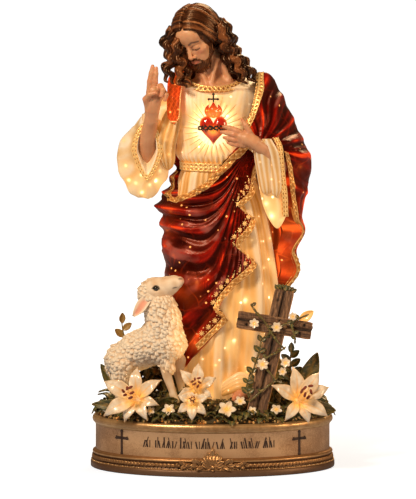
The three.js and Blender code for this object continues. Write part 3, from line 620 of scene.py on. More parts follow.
def red_lacquer(b):
    fold, glow = b.mark("fold"), b.mark("glow")
    grain = b.group(GRAIN, Scale=700.0, Broad=90.0)
    level = b.uneven(fold, grain["Value"], 0.5)
    # Near black in the fold hollows to bright orange-red on the crests: painted shade and
    # highlight.
    colour = b.ramp(level, (0.0, (0.008, 0.0, 0.0)), (0.25, (0.03, 0.001, 0.001)),
                    (0.5, (0.15, 0.003, 0.002)), (0.74, (0.34, 0.008, 0.004)),
                    (0.95, (0.7, 0.05, 0.01)))
    # Pale pinkish patches on the middle slopes of the folds: a painted sheen.
    sheen_patch = b.ramp(b.noise(38.0, detail=2.0), (0.56, 0.0), (0.66, 1.0))
    flat = b.ramp(fold, (0.25, 0.0), (0.4, 1.0), (0.62, 1.0), (0.75, 0.0))
    painted_sheen = b.mix(b.times(b.times(sheen_patch, flat), 0.65), colour, (0.38, 0.13, 0.11))
    sparks = b.group(SPARKS, Scale=150.0, Size=0.13, Share=0.75)
    # Emission along the crests is a painted highlight line, the veins are painted glow, and the
    # sparks painted glints.
    line = b.ramp(level, (0.66, 0.0), (0.98, 1.0))
    web = b.add("ShaderNodeTexVoronoi", {"Vector": b.place(), "Scale": 62.0},
                feature="DISTANCE_TO_EDGE").outputs["Distance"]
    glow_veins = b.times(b.ramp(web, (0.0, 1.0), (0.045, 0.0)),
                    b.ramp(b.noise(55.0), (0.45, 0.0), (0.62, 1.0)))
    lit = b.plus(b.times(line, 0.34), b.times(glow, 0.6))
    lit = b.plus(lit, b.times(glow_veins, b.plus(b.times(glow, 0.6), 0.14)))
    lit = b.plus(lit, b.times(sparks["Halo"], b.plus(glow, 0.12)))
    warm = b.dyed(b.mix(glow, (0.75, 0.035, 0.003), (1.0, 0.2, 0.025)), lit)
    spots = b.dyed((1.0, 0.42, 0.1), b.times(sparks["Points"], 2.2))
    return {"Base_Color": painted_sheen, "Emission_Color": b.both(warm, spots),
            "Normal": bumped(b, grain["Height"], strength=0.25)}


def lit_cream(b):
    fold, glow = b.mark("fold"), b.mark("glow")
    grain = b.group(GRAIN, Scale=500.0, Broad=70.0)
    level = b.uneven(fold, grain["Value"], 0.35)
    # Orange-brown in the fold hollows to cream on the crests: painted shade in the hollows.
    colour = b.ramp(level, (0.05, (0.36, 0.15, 0.035)), (0.3, (0.62, 0.37, 0.15)),
                    (0.55, (0.79, 0.6, 0.38)), (0.85, (0.88, 0.8, 0.69)))
    # Sparks are painted glints.
    sparks = b.group(SPARKS, Scale=130.0, Size=0.13, Share=0.8)
    hue = b.mix(b.less(b.times(glow, 0.75), 0.25, True), (0.95, 0.36, 0.04), (1.0, 0.82, 0.42))
    inside = b.times(glow, b.less(0.62, b.times(level, 0.34)))
    inside = b.plus(inside, b.times(sparks["Halo"], b.times(glow, 0.9)))
    inside = b.plus(inside, b.times(b.less(glow, 0.85, True), 0.9))
    points = b.times(sparks["Points"], b.times(glow, 3.0))
    shine = b.both(b.dyed(hue, inside), b.dyed((1.0, 0.8, 0.5), points))
    # The base colour turns golden where the glow is strong: painted light in the colour.
    glow_warmed = b.mix(b.times(glow, 0.85, True), colour,
                   b.mix(level, (0.72, 0.32, 0.05), (0.93, 0.64, 0.28)))
    return {"Base_Color": glow_warmed, "Emission_Color": shine,
            "Normal": bumped(b, grain["Height"], strength=0.2)}


def gilded(b, glow=0.25, **tones):
    worn = b.group(GILDING, Relief=b.mark("relief"), **tones)
    shine = b.dyed(worn["Color"], b.plus(glow, b.mark("glow")))
    return {"Base_Color": worn["Color"], "Roughness": worn["Roughness"], "Emission_Color": shine,
            "Normal": bumped(b, b.noise(900.0, detail=3.0), strength=0.3)}


def bronze(b):
    grain = b.group(GRAIN, Scale=1100.0, Broad=55.0)
    # Lighter across the middle and darker towards the rounded ends: painted shade on the ends.
    across = b.add("ShaderNodeSeparateXYZ", {"Vector": b.place()}).outputs["X"]
    middle = b.less(1.0, b.sum("POWER", b.sum("ABSOLUTE", b.sum("DIVIDE", across, 0.084)), 2.5),
                    clamp=True)
    tone = b.plus(grain["Value"], b.times(middle, 0.22))
    colour = b.ramp(tone, (0.32, (0.11, 0.05, 0.02)), (0.5, (0.34, 0.185, 0.095)),
                    (0.7, (0.64, 0.4, 0.23)))
    dark = b.mix(b.mark("dark"), colour, (0.06, 0.022, 0.01))
    return {"Base_Color": dark, "Roughness": b.ramp(grain["Value"], (0.3, 0.5), (0.7, 0.34)),
            "Normal": bumped(b, grain["Height"], strength=0.35)}


def skin(b):
    red, brown = b.mark("red"), b.mark("brown")
    tone = b.ramp(b.noise(120.0, detail=4.0), (0.3, (0.56, 0.26, 0.13)), (0.7, (0.7, 0.37, 0.2)))
    warm = b.mix(red, tone, (0.66, 0.16, 0.1))
    return {"Base_Color": b.mix(brown, warm, (0.045, 0.016, 0.008)),
            "Normal": bumped(b, b.noise(1500.0, detail=2.0), strength=0.12)}


def brown_hair(b):
    strand = b.mark("strand")
    streak = b.noise(420.0, detail=4.0, roughness=0.6)
    level = b.plus(b.times(strand, 0.7), b.times(streak, 0.4))
    # Near black low on the ramp for painted shade between strands, copper at the top for painted
    # highlights.
    colour = b.ramp(level, (0.22, (0.008, 0.002, 0.001)), (0.5, (0.05, 0.013, 0.004)),
                    (0.76, (0.24, 0.08, 0.027)), (0.96, (0.62, 0.28, 0.11)))
    return {"Base_Color": colour, "Normal": bumped(b, streak, strength=0.4)}


def plain_tones(low, high, scale=300.0, strength=0.25):
    """A finish of two tones with grain."""
    def build(b):
        grain = b.group(GRAIN, Scale=scale * 3, Broad=scale)
        return {"Base_Color": b.ramp(grain["Value"], (0.3, low), (0.7, high)),
                "Normal": bumped(b, grain["Height"], strength=strength)}
    return build


def fleece(b):
    tuft, glow = b.mark("tuft"), b.mark("glow")
    grain = b.group(GRAIN, Scale=900.0, Broad=120.0)
    level = b.uneven(tuft, grain["Value"], 0.4)
    # Dark ochre at the tuft roots to cream at the tips: painted shade between the tufts.
    colour = b.ramp(level, (0.0, (0.34, 0.16, 0.07)), (0.35, (0.68, 0.46, 0.29)),
                    (0.75, (0.88, 0.76, 0.63)))
    pink = b.mix(b.mark("pink"), colour, (0.78, 0.3, 0.2))
    dark = b.mix(b.mark("dark"), pink, (0.02, 0.008, 0.005))
    return {"Base_Color": dark, "Emission_Color": b.dyed((1.0, 0.5, 0.14), glow),
            "Normal": bumped(b, grain["Height"], strength=0.3)}


def timber(b):
    along = b.add("ShaderNodeMapping", {"Vector": b.place(), "Rotation": (0.14, -0.227, 0.0),
                                        "Scale": (9.0, 9.0, 0.9)})
    grain = b.noise(90.0, detail=6.0, roughness=0.7, distortion=0.6, where=along.outputs["Vector"])
    level = b.plus(b.times(grain, 0.8), b.times(b.mark("edge"), 0.5))
    colour = b.ramp(level, (0.25, (0.03, 0.012, 0.005)), (0.42, (0.14, 0.065, 0.032)),
                    (0.62, (0.32, 0.17, 0.085)), (0.95, (0.66, 0.3, 0.09)))
    # Orange emission on the strongest edge marks: painted light along the lit side of each plank.
    lit = b.ramp(b.mark("edge"), (0.5, 0.0), (1.0, 0.25))
    return {"Base_Color": b.mix(b.mark("dark"), colour, (0.012, 0.005, 0.003)),
            "Normal": bumped(b, grain, strength=0.6, distance=0.0008),
            "Emission_Color": b.dyed((0.9, 0.32, 0.05), lit)}


def green_leaf(b):
    vein = b.mark("vein")
    dust = b.ramp(b.noise(650.0, detail=5.0, roughness=0.7), (0.55, 0.0), (0.66, 1.0))
    tone = b.ramp(b.noise(110.0, detail=3.0), (0.3, (0.014, 0.02, 0.006)),
                  (0.6, (0.06, 0.075, 0.02)), (0.8, (0.12, 0.13, 0.035)))
    gold = b.times(b.plus(dust, vein, clamp=True), 0.55)
    return {"Base_Color": b.mix(gold, tone, (0.55, 0.3, 0.08)),
            "Normal": bumped(b, b.noise(500.0, detail=3.0), strength=0.35)}


def lily_petal(b):
    throat, vein = b.mark("throat"), b.mark("vein")
    pearl = b.ramp(b.noise(160.0, detail=3.0), (0.3, (0.6, 0.47, 0.35)), (0.7, (0.88, 0.8, 0.7)))
    warm = b.mix(throat, pearl, (0.85, 0.5, 0.1))
    # The veins and the painted edge light turn golden brown.
    colour = b.mix(b.times(vein, 0.7), warm, (0.72, 0.36, 0.09))
    sparks = b.group(SPARKS, Scale=170.0, Size=0.2, Share=0.3)
    lit = b.plus(b.times(throat, 0.3), b.times(vein, 0.1))
    shine = b.dyed((1.0, 0.5, 0.12), lit)
    glint = b.dyed((1.0, 0.85, 0.6), b.times(sparks["Halo"], 0.5))
    return {"Base_Color": colour, "Emission_Color": b.both(shine, glint),
            "Normal": bumped(b, b.noise(700.0, detail=2.0), strength=0.15)}


def enamel(b):
    lit = b.mark("glow")
    colour = b.mix(lit, (0.42, 0.006, 0.004), (1.0, 0.3, 0.03))
    return {"Base_Color": colour,
            "Emission_Color": b.dyed(b.mix(lit, (0.7, 0.015, 0.004), (1.0, 0.4, 0.06)),
                                     b.plus(0.18, b.times(lit, 1.1))),
            "Normal": bumped(b, b.noise(300.0, detail=2.0), strength=0.1)}


RED = finish("red_lacquer", red_lacquer, Roughness=0.34, Specular_IOR_Level=0.34,
             Specular_Tint=(1.0, 0.16, 0.08), Coat_Weight=0.05, Coat_Roughness=0.08,
             Emission_Strength=1.0)
CREAM = finish("lit_cream", lit_cream, Roughness=0.36, Coat_Weight=0.25, Coat_Roughness=0.2,
               Emission_Strength=1.0)
GILT = finish("gilt_trim", gilded, Metallic=0.5, Emission_Strength=0.6)
GILT_CAST = finish("gilt_cast", lambda b: gilded(b, 0.04, Hollow=(0.1, 0.042, 0.018),
                                                 Middle=(0.4, 0.21, 0.09),
                                                 Bright=(0.95, 0.64, 0.32)), Metallic=0.8,
                   Emission_Strength=0.5)
BRONZE = finish("bronze_paint", bronze, Metallic=0.45)
SKIN = finish("painted_skin", skin, Roughness=0.42, Subsurface_Weight=0.12, Subsurface_Scale=0.002)
HAIR = finish("brown_hair", brown_hair, Roughness=0.3, Specular_IOR_Level=0.5,
              Specular_Tint=(1.0, 0.55, 0.3), Coat_Weight=0.08, Coat_Roughness=0.15)
FLEECE = finish("fleece", fleece, Roughness=0.6, Emission_Strength=1.0)
TIMBER = finish("timber", timber, Roughness=0.65, Emission_Strength=1.0)
LEAF = finish("gold_dusted_leaf", green_leaf, Roughness=0.42, Coat_Weight=0.2)
PETAL = finish("lily_petal", lily_petal, Roughness=0.3, Coat_Weight=0.3, Emission_Strength=1.0)
ENAMEL = finish("red_enamel", enamel, Roughness=0.12, Coat_Weight=1.0, Coat_Roughness=0.05,
                Emission_Strength=1.0)
THORN = finish("thorn_brown", plain_tones((0.01, 0.004, 0.003), (0.055, 0.02, 0.01)), Roughness=0.6)
ANTHER = finish("anther_brown", plain_tones((0.08, 0.006, 0.003), (0.3, 0.05, 0.02)), Roughness=0.6)
EARTH = finish("dark_earth", plain_tones((0.012, 0.01, 0.004), (0.09, 0.06, 0.02), scale=150.0,
                                         strength=0.8), Roughness=0.8)
EYE = finish("dark_eye", plain_tones((0.004, 0.002, 0.002), (0.02, 0.008, 0.004)), Roughness=0.06,
             Coat_Weight=1.0)


# The floor, the lights and the camera
def studio():
    fresh()
    bpy.ops.mesh.primitive_grid_add(x_subdivisions=8, y_subdivisions=8, size=8.0)
    floor = bpy.context.object
    floor.name = "pale_floor"

    def paper_white(b):
        seen = b.add("ShaderNodeLightPath").outputs["Is Camera Ray"]
        # The floor glows less near the middle: a painted soft shadow round the plinth.
        away = b.add("ShaderNodeVectorMath", {0: b.place()}, operation="LENGTH").outputs["Value"]
        light = b.ramp(away, (0.1, 0.7), (0.4, 1.0))
        return {"Base_Color": b.ramp(b.noise(6.0), (0.3, (0.38, 0.48, 0.7)),
                                     (0.7, (0.41, 0.51, 0.73))),
                "Emission_Strength": b.times(seen, light)}

    paper = finish("white_paper", paper_white, Roughness=0.9, Emission_Color=(0.97, 0.985, 1.0))
    floor.data.materials.append(paper)
    world = bpy.data.worlds.new("studio")
    bpy.context.scene.world = world
    world.use_nodes = True
    b = Board(world.node_tree)
    seen = b.add("ShaderNodeLightPath").outputs["Is Camera Ray"]
    sky = b.mix(seen, (0.2, 0.135, 0.075), (1.05, 1.05, 1.05))
    b.feed(world.node_tree.nodes["Background"].inputs["Color"], sky)
    lit_place = Vector((0.0, 0.0, 0.17))
    for name, place, size, power, tint in (
        ("key_light", (-0.8, -1.1, 1.2), 0.35, 27.0, (1.0, 0.79, 0.54)),
        ("side_light", (1.3, -0.5, 0.5), 0.4, 9.0, (1.0, 0.7, 0.4)),
        ("rim_light", (0.35, 1.1, 1.1), 0.6, 12.0, (1.0, 0.68, 0.36)),
    ):
        lamp = bpy.data.lights.new(name, "AREA")
        lamp.energy, lamp.size, lamp.color = power, size, tint
        holder = bpy.data.objects.new(name, lamp)
        bpy.context.scene.collection.objects.link(holder)
        holder.matrix_world = pose(at(*place), facing(Vector(place) - lit_place))
    bpy.context.scene.view_settings.view_transform = "Standard"


def camera():
    """A long lens from a little above, as the photograph was framed."""
    lens = bpy.data.cameras.new("camera")
    lens.lens, lens.sensor_width, lens.clip_end = 505.3, 36.0, 50.0
    holder = bpy.data.objects.new("camera", lens)
    bpy.context.scene.collection.objects.link(holder)
    rise, reach = math.radians(6.1), 5.0
    aim = Vector((-0.0033, 0.0, 0.1554))
    holder.location = aim + Vector((0.0, -math.cos(rise), math.sin(rise))) * reach
    holder.rotation_euler = (math.pi / 2 - rise, 0.0, 0.0)
    bpy.context.scene.camera = holder


# The plinth
def oval(turn, inset):
    """A place on the plinth's oval at a turn from the front, set in from the foot."""
    a, b = PLINTH_HALF[0] - inset, PLINTH_HALF[1] - inset
    return np.stack([a * np.sin(turn), -b * np.cos(turn)], -1)


def turned_moulding(profile, steps=240):
    """A moulding profile of [inset, z] spun on a lathe and pressed into the plinth's oval."""
    fresh()
    mesh = bpy.data.meshes.new("moulding")
    points = [(PLINTH_HALF[0] - inset, 0.0, z) for inset, z in profile]
    mesh.from_pydata(points, [(i, i + 1) for i in range(len(points) - 1)], [])
    made = bpy.data.objects.new("moulding", mesh)
    bpy.context.scene.collection.objects.link(made)
    bpy.context.view_layer.objects.active = made
    made.select_set(True)
    edit_all(
        lambda: bpy.ops.mesh.spin(steps=steps, angle=TAU, center=(0, 0, 0), axis=(0, 0, 1)),
        lambda: bpy.ops.mesh.select_all(action="SELECT"),
        lambda: bpy.ops.mesh.remove_doubles(threshold=0.001),
        lambda: bpy.ops.mesh.normals_make_consistent(inside=False),
    )

    def press(p):
        radius = np.hypot(p[:, 0], p[:, 1])
        depth = np.maximum(radius - (PLINTH_HALF[0] - PLINTH_HALF[1]), 0)
        share = np.where(radius > 1e-6, depth / np.maximum(radius, 1e-6), 1)
        return p * np.stack([np.ones(len(p)), share, np.ones(len(p))], -1)

    reshaped(made, press)
    return outward(read_off(made))


def on_wall(x, z, out=0.0):
    """A place on the plinth's wall: +x runs along the wall, +y up it and +z out of it."""
    a, b = PLINTH_HALF[0] - WALL_INSET, PLINTH_HALF[1] - WALL_INSET
    turn = math.asin(x / a)
    way = math.atan2(math.sin(turn) / a, math.cos(turn) / b)
    spot = at(x, -b * math.cos(turn), z)
    return pose(spot, turn_z(math.degrees(way)), turn_x(90), at(0, 0, out))


def ball_form(segments, rings):
    fresh()
    bpy.ops.mesh.primitive_uv_sphere_add(segments=segments, ring_count=rings, radius=1.0)
    return read_off(bpy.context.object)


def bead_form():
    """A ball plain enough to be set hundreds of times."""
    return ball_form(6, 4)


def bar_form(width, length, depth, bevel):
    """A bar from the origin up +y, with rounded edges."""
    fresh()
    bpy.ops.mesh.primitive_cube_add(size=1.0)
    made = bpy.context.object
    reshaped(made, lambda p: p * [width, length, depth] + [0, length / 2, 0])
    with_modifier(made, "BEVEL", width=bevel, segments=2)
    return read_off(made)


def blade_form(length, half, thick, rise, keel, rows=9, cols=6, wave=0.0, point=0.9):
    """A leaf or petal modelled flat from a grid: root at the origin, tip along +y, face up +z."""
    fresh()
    bpy.ops.mesh.primitive_grid_add(x_subdivisions=cols, y_subdivisions=rows, size=2.0)
    made = bpy.context.object

    def shape(p):
        side, t = p[:, 0], (p[:, 1] + 1) / 2
        width = half * np.sin(math.pi * np.clip(t, 0, 1) ** point) ** 0.75 + 0.02 * half
        z = length * rise(t) + keel * half * side**2 + wave * np.sin(t * 19) * side**2
        return np.stack([side * width, t * length, z], -1)

    reshaped(made, shape)
    with_modifier(made, "SOLIDIFY", thickness=thick, offset=0.0)
    form = read_off(made)
    t = np.clip(form.points[:, 1] / length, 0, 1)
    middle = bump(form.points[:, 0], 0, 0.12 * half)
    form.marks = {"along": t, "vein": middle * (1 - 0.6 * t)}
    return outward(form)


def scroll(middle, start, turns, radius, shrink, thick, side):
    """A carved volute in the wall's own plane, winding in to its middle."""
    count = 26
    a = np.linspace(0, turns * TAU, count)
    size = radius * shrink ** (a / TAU)
    flat = [middle[0] + side * size * np.cos(start + a), middle[1] + size * np.sin(start + a)]
    return np.stack([*flat, np.full(count, 0.5)], -1), thick * (0.35 + 0.65 * size / radius)


def acanthus():
    """The gilt acanthus: a fan of ribbed leaves over volutes, with sprays to each side."""
    parts = []
    for k in range(9):
        spread = abs(k - 4)
        leaf = blade_form(11.6 - 1.4 * spread, half=1.6, thick=1.0, rise=lambda t: 0.2 * t * t * t,
                          keel=0.35)
        parts.append((leaf, pose(at((k - 4) * 0.35, 8.4 - 0.25 * spread, 0.8 - 0.1 * spread),
                                 turn_z(-19.5 * (k - 4)))))
    bead = bead_form()
    parts += [(bead, pose(at(0, y, 1.2), sized(s)))
              for y, s in ((7.4, 1.5), (5.0, 1.0), (20.6, 0.8))]
    for side in (-1, 1):
        for x, y, size, start, turns in ((4.6, 8.0, 3.4, 2.9, 1.4), (10.4, 9.4, 2.7, 0.2, 1.3),
                                         (15.8, 8.2, 2.1, 2.9, 1.2), (20.4, 9.0, 1.6, 0.2, 1.1)):
            path, thick = scroll((side * x, y), start, turns=turns, radius=size * 1.12, shrink=0.45,
                                 thick=0.95, side=side)
            parts.append((tube(path, thick, sides=6), Matrix.Identity(4)))
        for k in range(9):
            leaf = blade_form(6.4 - 0.4 * k, half=1.3, thick=0.8, rise=lambda t: 0.3 * t * t,
                              keel=0.3, rows=5, cols=4)
            aim = side * -(20 + 26 * (k % 3)) if k % 2 else side * -(118 - 16 * (k % 3))
            parts.append((leaf, pose(at(side * (5.5 + 2.1 * k), 8.6 + 0.5 * math.sin(2 * k), 0.6),
                                     turn_z(aim))))
        sweep = np.array([[side * x, y, 0.4]
                          for x, y in ((1, 5.6), (6, 4.9), (12, 6.6), (18, 6.4), (24, 7.6))])
        parts.append((tube(through(sweep, 22), np.linspace(1.0, 0.35, 22), sides=5),
                      Matrix.Identity(4)))

    def on_the_wall(form, matrix):
        """A flat form bent round the wall, standing further out low down, over the moulding."""
        flat = carried(form.points, matrix)
        proud = 0.35 + 2.3 * ease(15.5, 12.5, flat[:, 1])
        rounded = [carried(np.array([[0, y, z]]), on_wall(x, 0, out))[0]
                   for (x, y, z), out in zip(flat, proud)]
        relief = np.clip(flat[:, 2] / 2.4, 0, 1)
        return Form(np.array(rounded), form.faces, relief=0.06 + 0.56 * relief)

    return together(outward(on_the_wall(*part)) for part in parts)


def carved_band():
    """Small leaves carved round the foot, between the bead row and the gilt moulding."""
    leaf = blade_form(3.5, half=1.15, thick=0.8, rise=lambda t: 0.16 * np.sin(math.pi * t),
                      keel=0.5, rows=3, cols=2)
    count = 170
    forms = []
    for k in range(count):
        turn = TAU * (k + 0.5) / count
        x, y = oval(turn, 2.2)
        way = math.degrees(math.atan2(math.sin(turn) * PLINTH_HALF[1],
                                      math.cos(turn) * PLINTH_HALF[0]))
        for aim, up, size in ((-62, 6.9, 1.0), (62, 7.1, 1.0), (0, 6.4, 0.72)):
            forms.append(leaf.placed(pose(at(x, y, up), turn_z(way), turn_x(82), turn_z(aim),
                                          sized(size))))
    whole = together(forms)
    whole.marks = {"relief": 0.26 + 0.4 * whole.marks["along"] ** 2}
    return whole


def bead_row():
    """The row of beads low on the foot."""
    bead, count, up, radius = bead_form(), 300, 5.3, 0.52
    spots = [oval(TAU * k / count, 0.75) for k in range(count)]
    return together(bead.placed(pose(at(x, y, up), sized(radius)), relief=0.5 + 0.2 * (k % 3))
                    for k, (x, y) in enumerate(spots))


def stroke_row():
    """The band across the front: upright and slanting strokes in groups, which spell nothing."""
    groups = (2, 5, 3, 4, 2, 2, 4, 3)
    draw = np.random.default_rng(11)
    forms, x, foot, step, gap = [], -49.0, 20.0, 1.5, 2.7
    for count in groups:
        for k in range(2 * count):
            tall = 5.2 + 2.5 * ((k * 7 + count) % 3 == 0)
            bar = bar_form(width=0.6 if k % 2 else 1.0, length=tall, depth=0.6, bevel=0.12)
            lean = (-16, 0, 12)[int(draw.integers(3))]
            forms.append(bar.placed(pose(on_wall(x, foot), turn_z(lean))))
            x += step
        x += gap
    return together(forms)


def budded_cross(x):
    """A painted cross with budded ends on the wall."""
    bead, foot, crossing, ring = bead_form(), 14.6, 25.0, 0.62
    post, arm = bar_form(width=2.1, length=15.0, depth=0.5,
                         bevel=0.15), bar_form(width=2.0, length=9.6, depth=0.5, bevel=0.15)
    forms = [post.placed(on_wall(x, foot)),
             arm.placed(pose(on_wall(x, crossing), turn_z(-90), at(0, -4.8, 0)))]
    for dx, dz in ((0, 15.6), (-5.0, 10.4), (5.0, 10.4), (0, -0.3)):
        for k in range(3):
            a = k * TAU / 3 + 1.57
            bud = at(dx + ring * math.cos(a), dz + ring * math.sin(a), 0.05)
            forms.append(bead.placed(pose(on_wall(x, foot), bud, sized(0.95, 0.95, 0.35))))
    return together(forms)


def build_plinth():
    foot = [(87.3, 0), (0.9, 0), (0.15, 0.5), (0, 1.4), (0, 3.9), (0.5, 4.7), (1.1, 4.9),
            (1.9, 5.3), (2.3, 6.2), (2.7, 8.0), (2.5, 9.6), (2.9, 10.2), (WALL_INSET, 10.8),
            (WALL_INSET, 20), (WALL_INSET, 31.4), (3.1, 32.2), (3.1, 36.0), (3.6, 37.0),
            (87.3, 37.0)]
    body = turned_moulding(foot)
    body.marks = {"dark": 0.85 * ease(11.4, 9.8, body.points[:, 2])}
    piece("plinth_body", body, BRONZE, "plinth", sharp=40)
    lower = turned_moulding([(3.9, 9.7), (2.6, 9.8), (1.7, 10.3), (1.35, 11.2), (1.7, 12.1),
                             (2.6, 12.5), (3.2, 12.9), (3.9, 13.6)])
    upper = turned_moulding([(3.9, 30.8), (3.3, 31.0), (3.0, 31.6), (3.0, 32.3), (2.0, 32.7),
                             (1.45, 33.6), (1.3, 34.7), (1.5, 35.9), (2.1, 36.9), (3.0, 37.35),
                             (4.6, 37.4), (5.2, 36.9)])
    step = turned_moulding([(1.3, 4.55), (0.6, 4.7), (0.35, 5.0), (0.6, 5.3), (1.3, 5.5)])
    for name, form, low, bright in (("gilt_lower_moulding", lower, 0.2, ((11.2, 0.5), (12.6, 0.3))),
                                    ("gilt_rim", upper, 0.56,
                                     ((32.5, 0.3), (35.9, 0.2), (37.4, 0.4))),
                                    ("gilt_foot_line", step, 0.2, ((5.0, 0.3),))):
        z = form.points[:, 2]
        form.marks = {"relief": low + sum(share * bump(z, height, 0.42)
                                          for height, share in bright)}
        piece(name, form, GILT_CAST, "plinth")
    for name, form in (("carved_leaf_band", carved_band()), ("gilt_bead_row", bead_row()),
                       ("gilt_acanthus", acanthus())):
        piece(name, form, GILT_CAST, "plinth")
    for name, form in (("stroke_row", stroke_row()), ("painted_cross_left", budded_cross(-64.5)),
                       ("painted_cross_right", budded_cross(61.5))):
        piece(name, form, THORN, "plinth")


# The robed body: [height, middle x, middle y, half width, half depth]
BODY = [[STAND, 9.5, 9, 38, 29], [72, 9.5, 9, 37.5, 28], [110, 9, 8.5, 37.5, 27],
        [150, 7.5, 8, 35.5, 25], [185, 5, 7, 32.5, 22.5], [206, 3.5, 6, 27, 19],
        [216, 3, 5.5, 24.5, 17.5], [232, 2, 4.5, 27.5, 20], [250, 1, 4.5, 30.5, 20.5],
        [266, 0.5, 5.5, 33, 17.5], [275, 0.5, 6, 30, 14], [281, 1, 6, 18, 11],]
# How square the body is in section: 2 is an oval
SECTION_POWER = 2.3


def body_point(turn, z, out=0.0):
    """A place on the body at a turn in radians from the front, positive to the viewer's right."""
    x, y, half_width, half_depth = keyed(BODY, z)
    s, c = np.sin(turn), np.cos(turn)
    k = (np.abs(s) ** SECTION_POWER + np.abs(c) ** SECTION_POWER) ** (-1 / SECTION_POWER)
    return np.stack([x + (half_width + out) * k * s, y - (half_depth + out) * k * c, z + 0 * s], -1)


def body_turn(x, z, out=0.0):
    """The turn at which the front of the body has this x."""
    middle, _, half, _ = keyed(BODY, z)
    s = np.clip((x - middle) / (half + out), -0.999, 0.999)
    return np.arctan2(np.sign(s) * np.abs(s), (1 - np.abs(s) ** SECTION_POWER)
                      ** (1 / SECTION_POWER))


PLEATS = 10
ROBE_TOP = 270


def robe_fold(turn, z):
    """How far the robe stands off the body, and how near each point is to the top of its fold."""
    low = ease(212, 110, z)
    sway = 0.9 * np.sin(2 * turn + z / 45)
    main = ridge(PLEATS * turn + sway)
    fine = ridge(2 * PLEATS * turn + 1.2 * np.sin(z / 31) + 1 + 2 * sway)
    thin = ridge(44 * turn + 1.6 * np.sin(z / 27) + 3 * sway)
    depth = 1.2 + low * 3.2
    chest = ease(217, 222, z)
    below = 1 - chest
    out = (depth * (main - 0.35) * (1 - 0.7 * chest) + (0.4 + 1.6 * low) * (fine - 0.4)
           * ease(216, 196, z))
    out = out + (0.3 + 0.5 * low) * (thin - 0.4) * below
    wander = 2.6 * np.sin(z / 13 + 4 * turn) + 2.0 * np.sin(z / 8.3 - 7 * turn)
    gathers = ridge(46 * turn + wander * chest * ease(226, 238, z))
    out = out + gathers * (0.32 * chest * ease(272, 250, z) + 1.1 * bump(z, 208, 7) + 1.5
                           * bump(z, 221.0, 3.6))
    out = out + 2.4 * bump(z, 224.5, 4.5) - 0.8 * bump(z, 215.5, 3)
    mark = below * (0.42 * main + 0.34 * fine + 0.32
                    * thin) / 0.8 + chest * (0.72 + 0.24 * gathers / 0.8)
    # The mark dips in a band just above the belt, except on the gathers: painted shade under the
    # blousing.
    return out, np.clip(mark - (0.5 - 0.6 * gathers) * bump(z, 219.6, 2.4), 0, 1)


# Where the small lights glow in the cloth: [x, z]
GLOW_SPOTS = np.array([(-63.3, 234.4), (-61.8, 216.5), (-53.3, 216.5), (-50.6, 210.5), (-54.7, 204),
                       (-59.7, 206), (-44.7, 203), (-40.4, 206), (-37.6, 213), (-50.4, 197.2),
                       (-33, 236), (-31, 225), (-35, 246), (33.1, 201), (43.1, 200.4), (42, 181),
                       (38, 190), (47, 208), (36.7, 143.2), (49.5, 152), (-2.6, 94.4), (15.3, 92),
                       (-11.1, 89), (2.1, 74.5), (18.8, 107), (23.1, 120.4), (28.1, 163.3),
                       (41, 163.3), (30, 178), (-23.3, 193), (-27.8, 152), (-11.1, 134.4),
                       (-32.6, 170), (55.3, 188), (62.4, 216), (59.5, 174), (-30, 184), (8, 60),
                       (25, 70),])


def spot_light(points, size=3.2):
    """The soft glow round each small light, on the cloth that faces the viewer."""
    flat = np.stack([points[..., 0], points[..., 2]], -1)
    total = 0
    for k, spot in enumerate(GLOW_SPOTS):
        reach = np.hypot(*np.moveaxis(flat - spot, -1, 0))
        total = (total + (0.7 + 0.3 * (k % 2))
                 * (0.34 * bump(reach, 0, size) + 0.9 * bump(reach, 0, 1.15)))
    return total * (points[..., 1] < 4)


def heart_light(points):
    """The light of the heart on what lies round it: a spread with paler beams in it."""
    dx, dz = points[..., 0] - HEART[0], points[..., 2] - HEART[2] - 1.5
    reach = np.hypot(dx, dz)
    beams = 0.78 + 0.22 * np.cos(28 * np.arctan2(dx, dz))
    near = np.exp(-((reach / 17.5) ** 4)) * 1.35 + 1.3 * bump(reach, 0, 28.0) * beams
    return near * (points[..., 1] < 0)


def robe_light(points, mark):
    """The glow in the robe: low down, between the folds, round the heart and at the lights."""
    x, z = points[..., 0], points[..., 2]
    low = 0.26 * ease(215, 150, z) + 0.2 * ease(120, 55, z)
    hem_light = (0.35 * bump(x, 12, 16) * bump(z, 110, 40) + 0.35 * bump(x, 46, 12)
                 * ease(215, 130, z))
    uneven = 0.7 + 0.5 * ripple(points, size=24.0, seed=21)
    glow = (0.06 + (low + hem_light) * uneven * (1.35 - 0.5 * mark) + 0.16 * (1 - mark) + 0.8
            * heart_light(points))
    glow = glow + spot_light(points)
    return np.clip(glow, 0, 1.9)


def build_robe():
    down, turn = shares_round(140, 260)
    z = STAND + (ROBE_TOP - STAND) * down
    out, mark = robe_fold(turn, z)
    rings = body_point(turn, z, out=out)
    t = np.linspace(0, 1, 19)[1:, None, None]
    neck = np.stack([1 + 19.4 * np.sin(turn[0]), 2.5 - 15 * np.cos(turn[0]),
                     277.6 - 6.5 * np.cos(turn[0])], -1)
    shoulders = (rings[-1] + (neck - rings[-1]) * t + np.sin(math.pi * t)
                 * (rings[-1] - [1, 4, 266]) * [0.1, 0.06, 0.25])
    sunk = np.array([neck - [0, 0, 3.0], [1, 2.5, 264] + (neck - [1, 2.5, 277]) * [0.8, 0.8, 0]])
    rings = np.concatenate([rings, shoulders, sunk])
    mark = np.concatenate([mark, mark[-1] * np.ones((20, 1))])
    forms = [loft(rings, fold=mark, glow=robe_light(rings, mark))]
    for k in range(4):
        path = through([[6, -19, 53 + 2 * k], [13, -25 + k, 57 + 2.4 * k],
                        [20, -27 + 1.6 * k, 60 + 2.6 * k], [27, -24 + k, 57 + 2.4 * k],
                        [34, -17, 53 + 2 * k]], 40)
        girth = 2.5 * np.sin(np.linspace(0.3, math.pi - 0.3, 40)) ** 0.5
        forms.append(tube(path, girth, sides=12, fold=0.34 + 0.1 * k, glow=0.42))
    piece("robe", together(forms), CREAM, "figure")


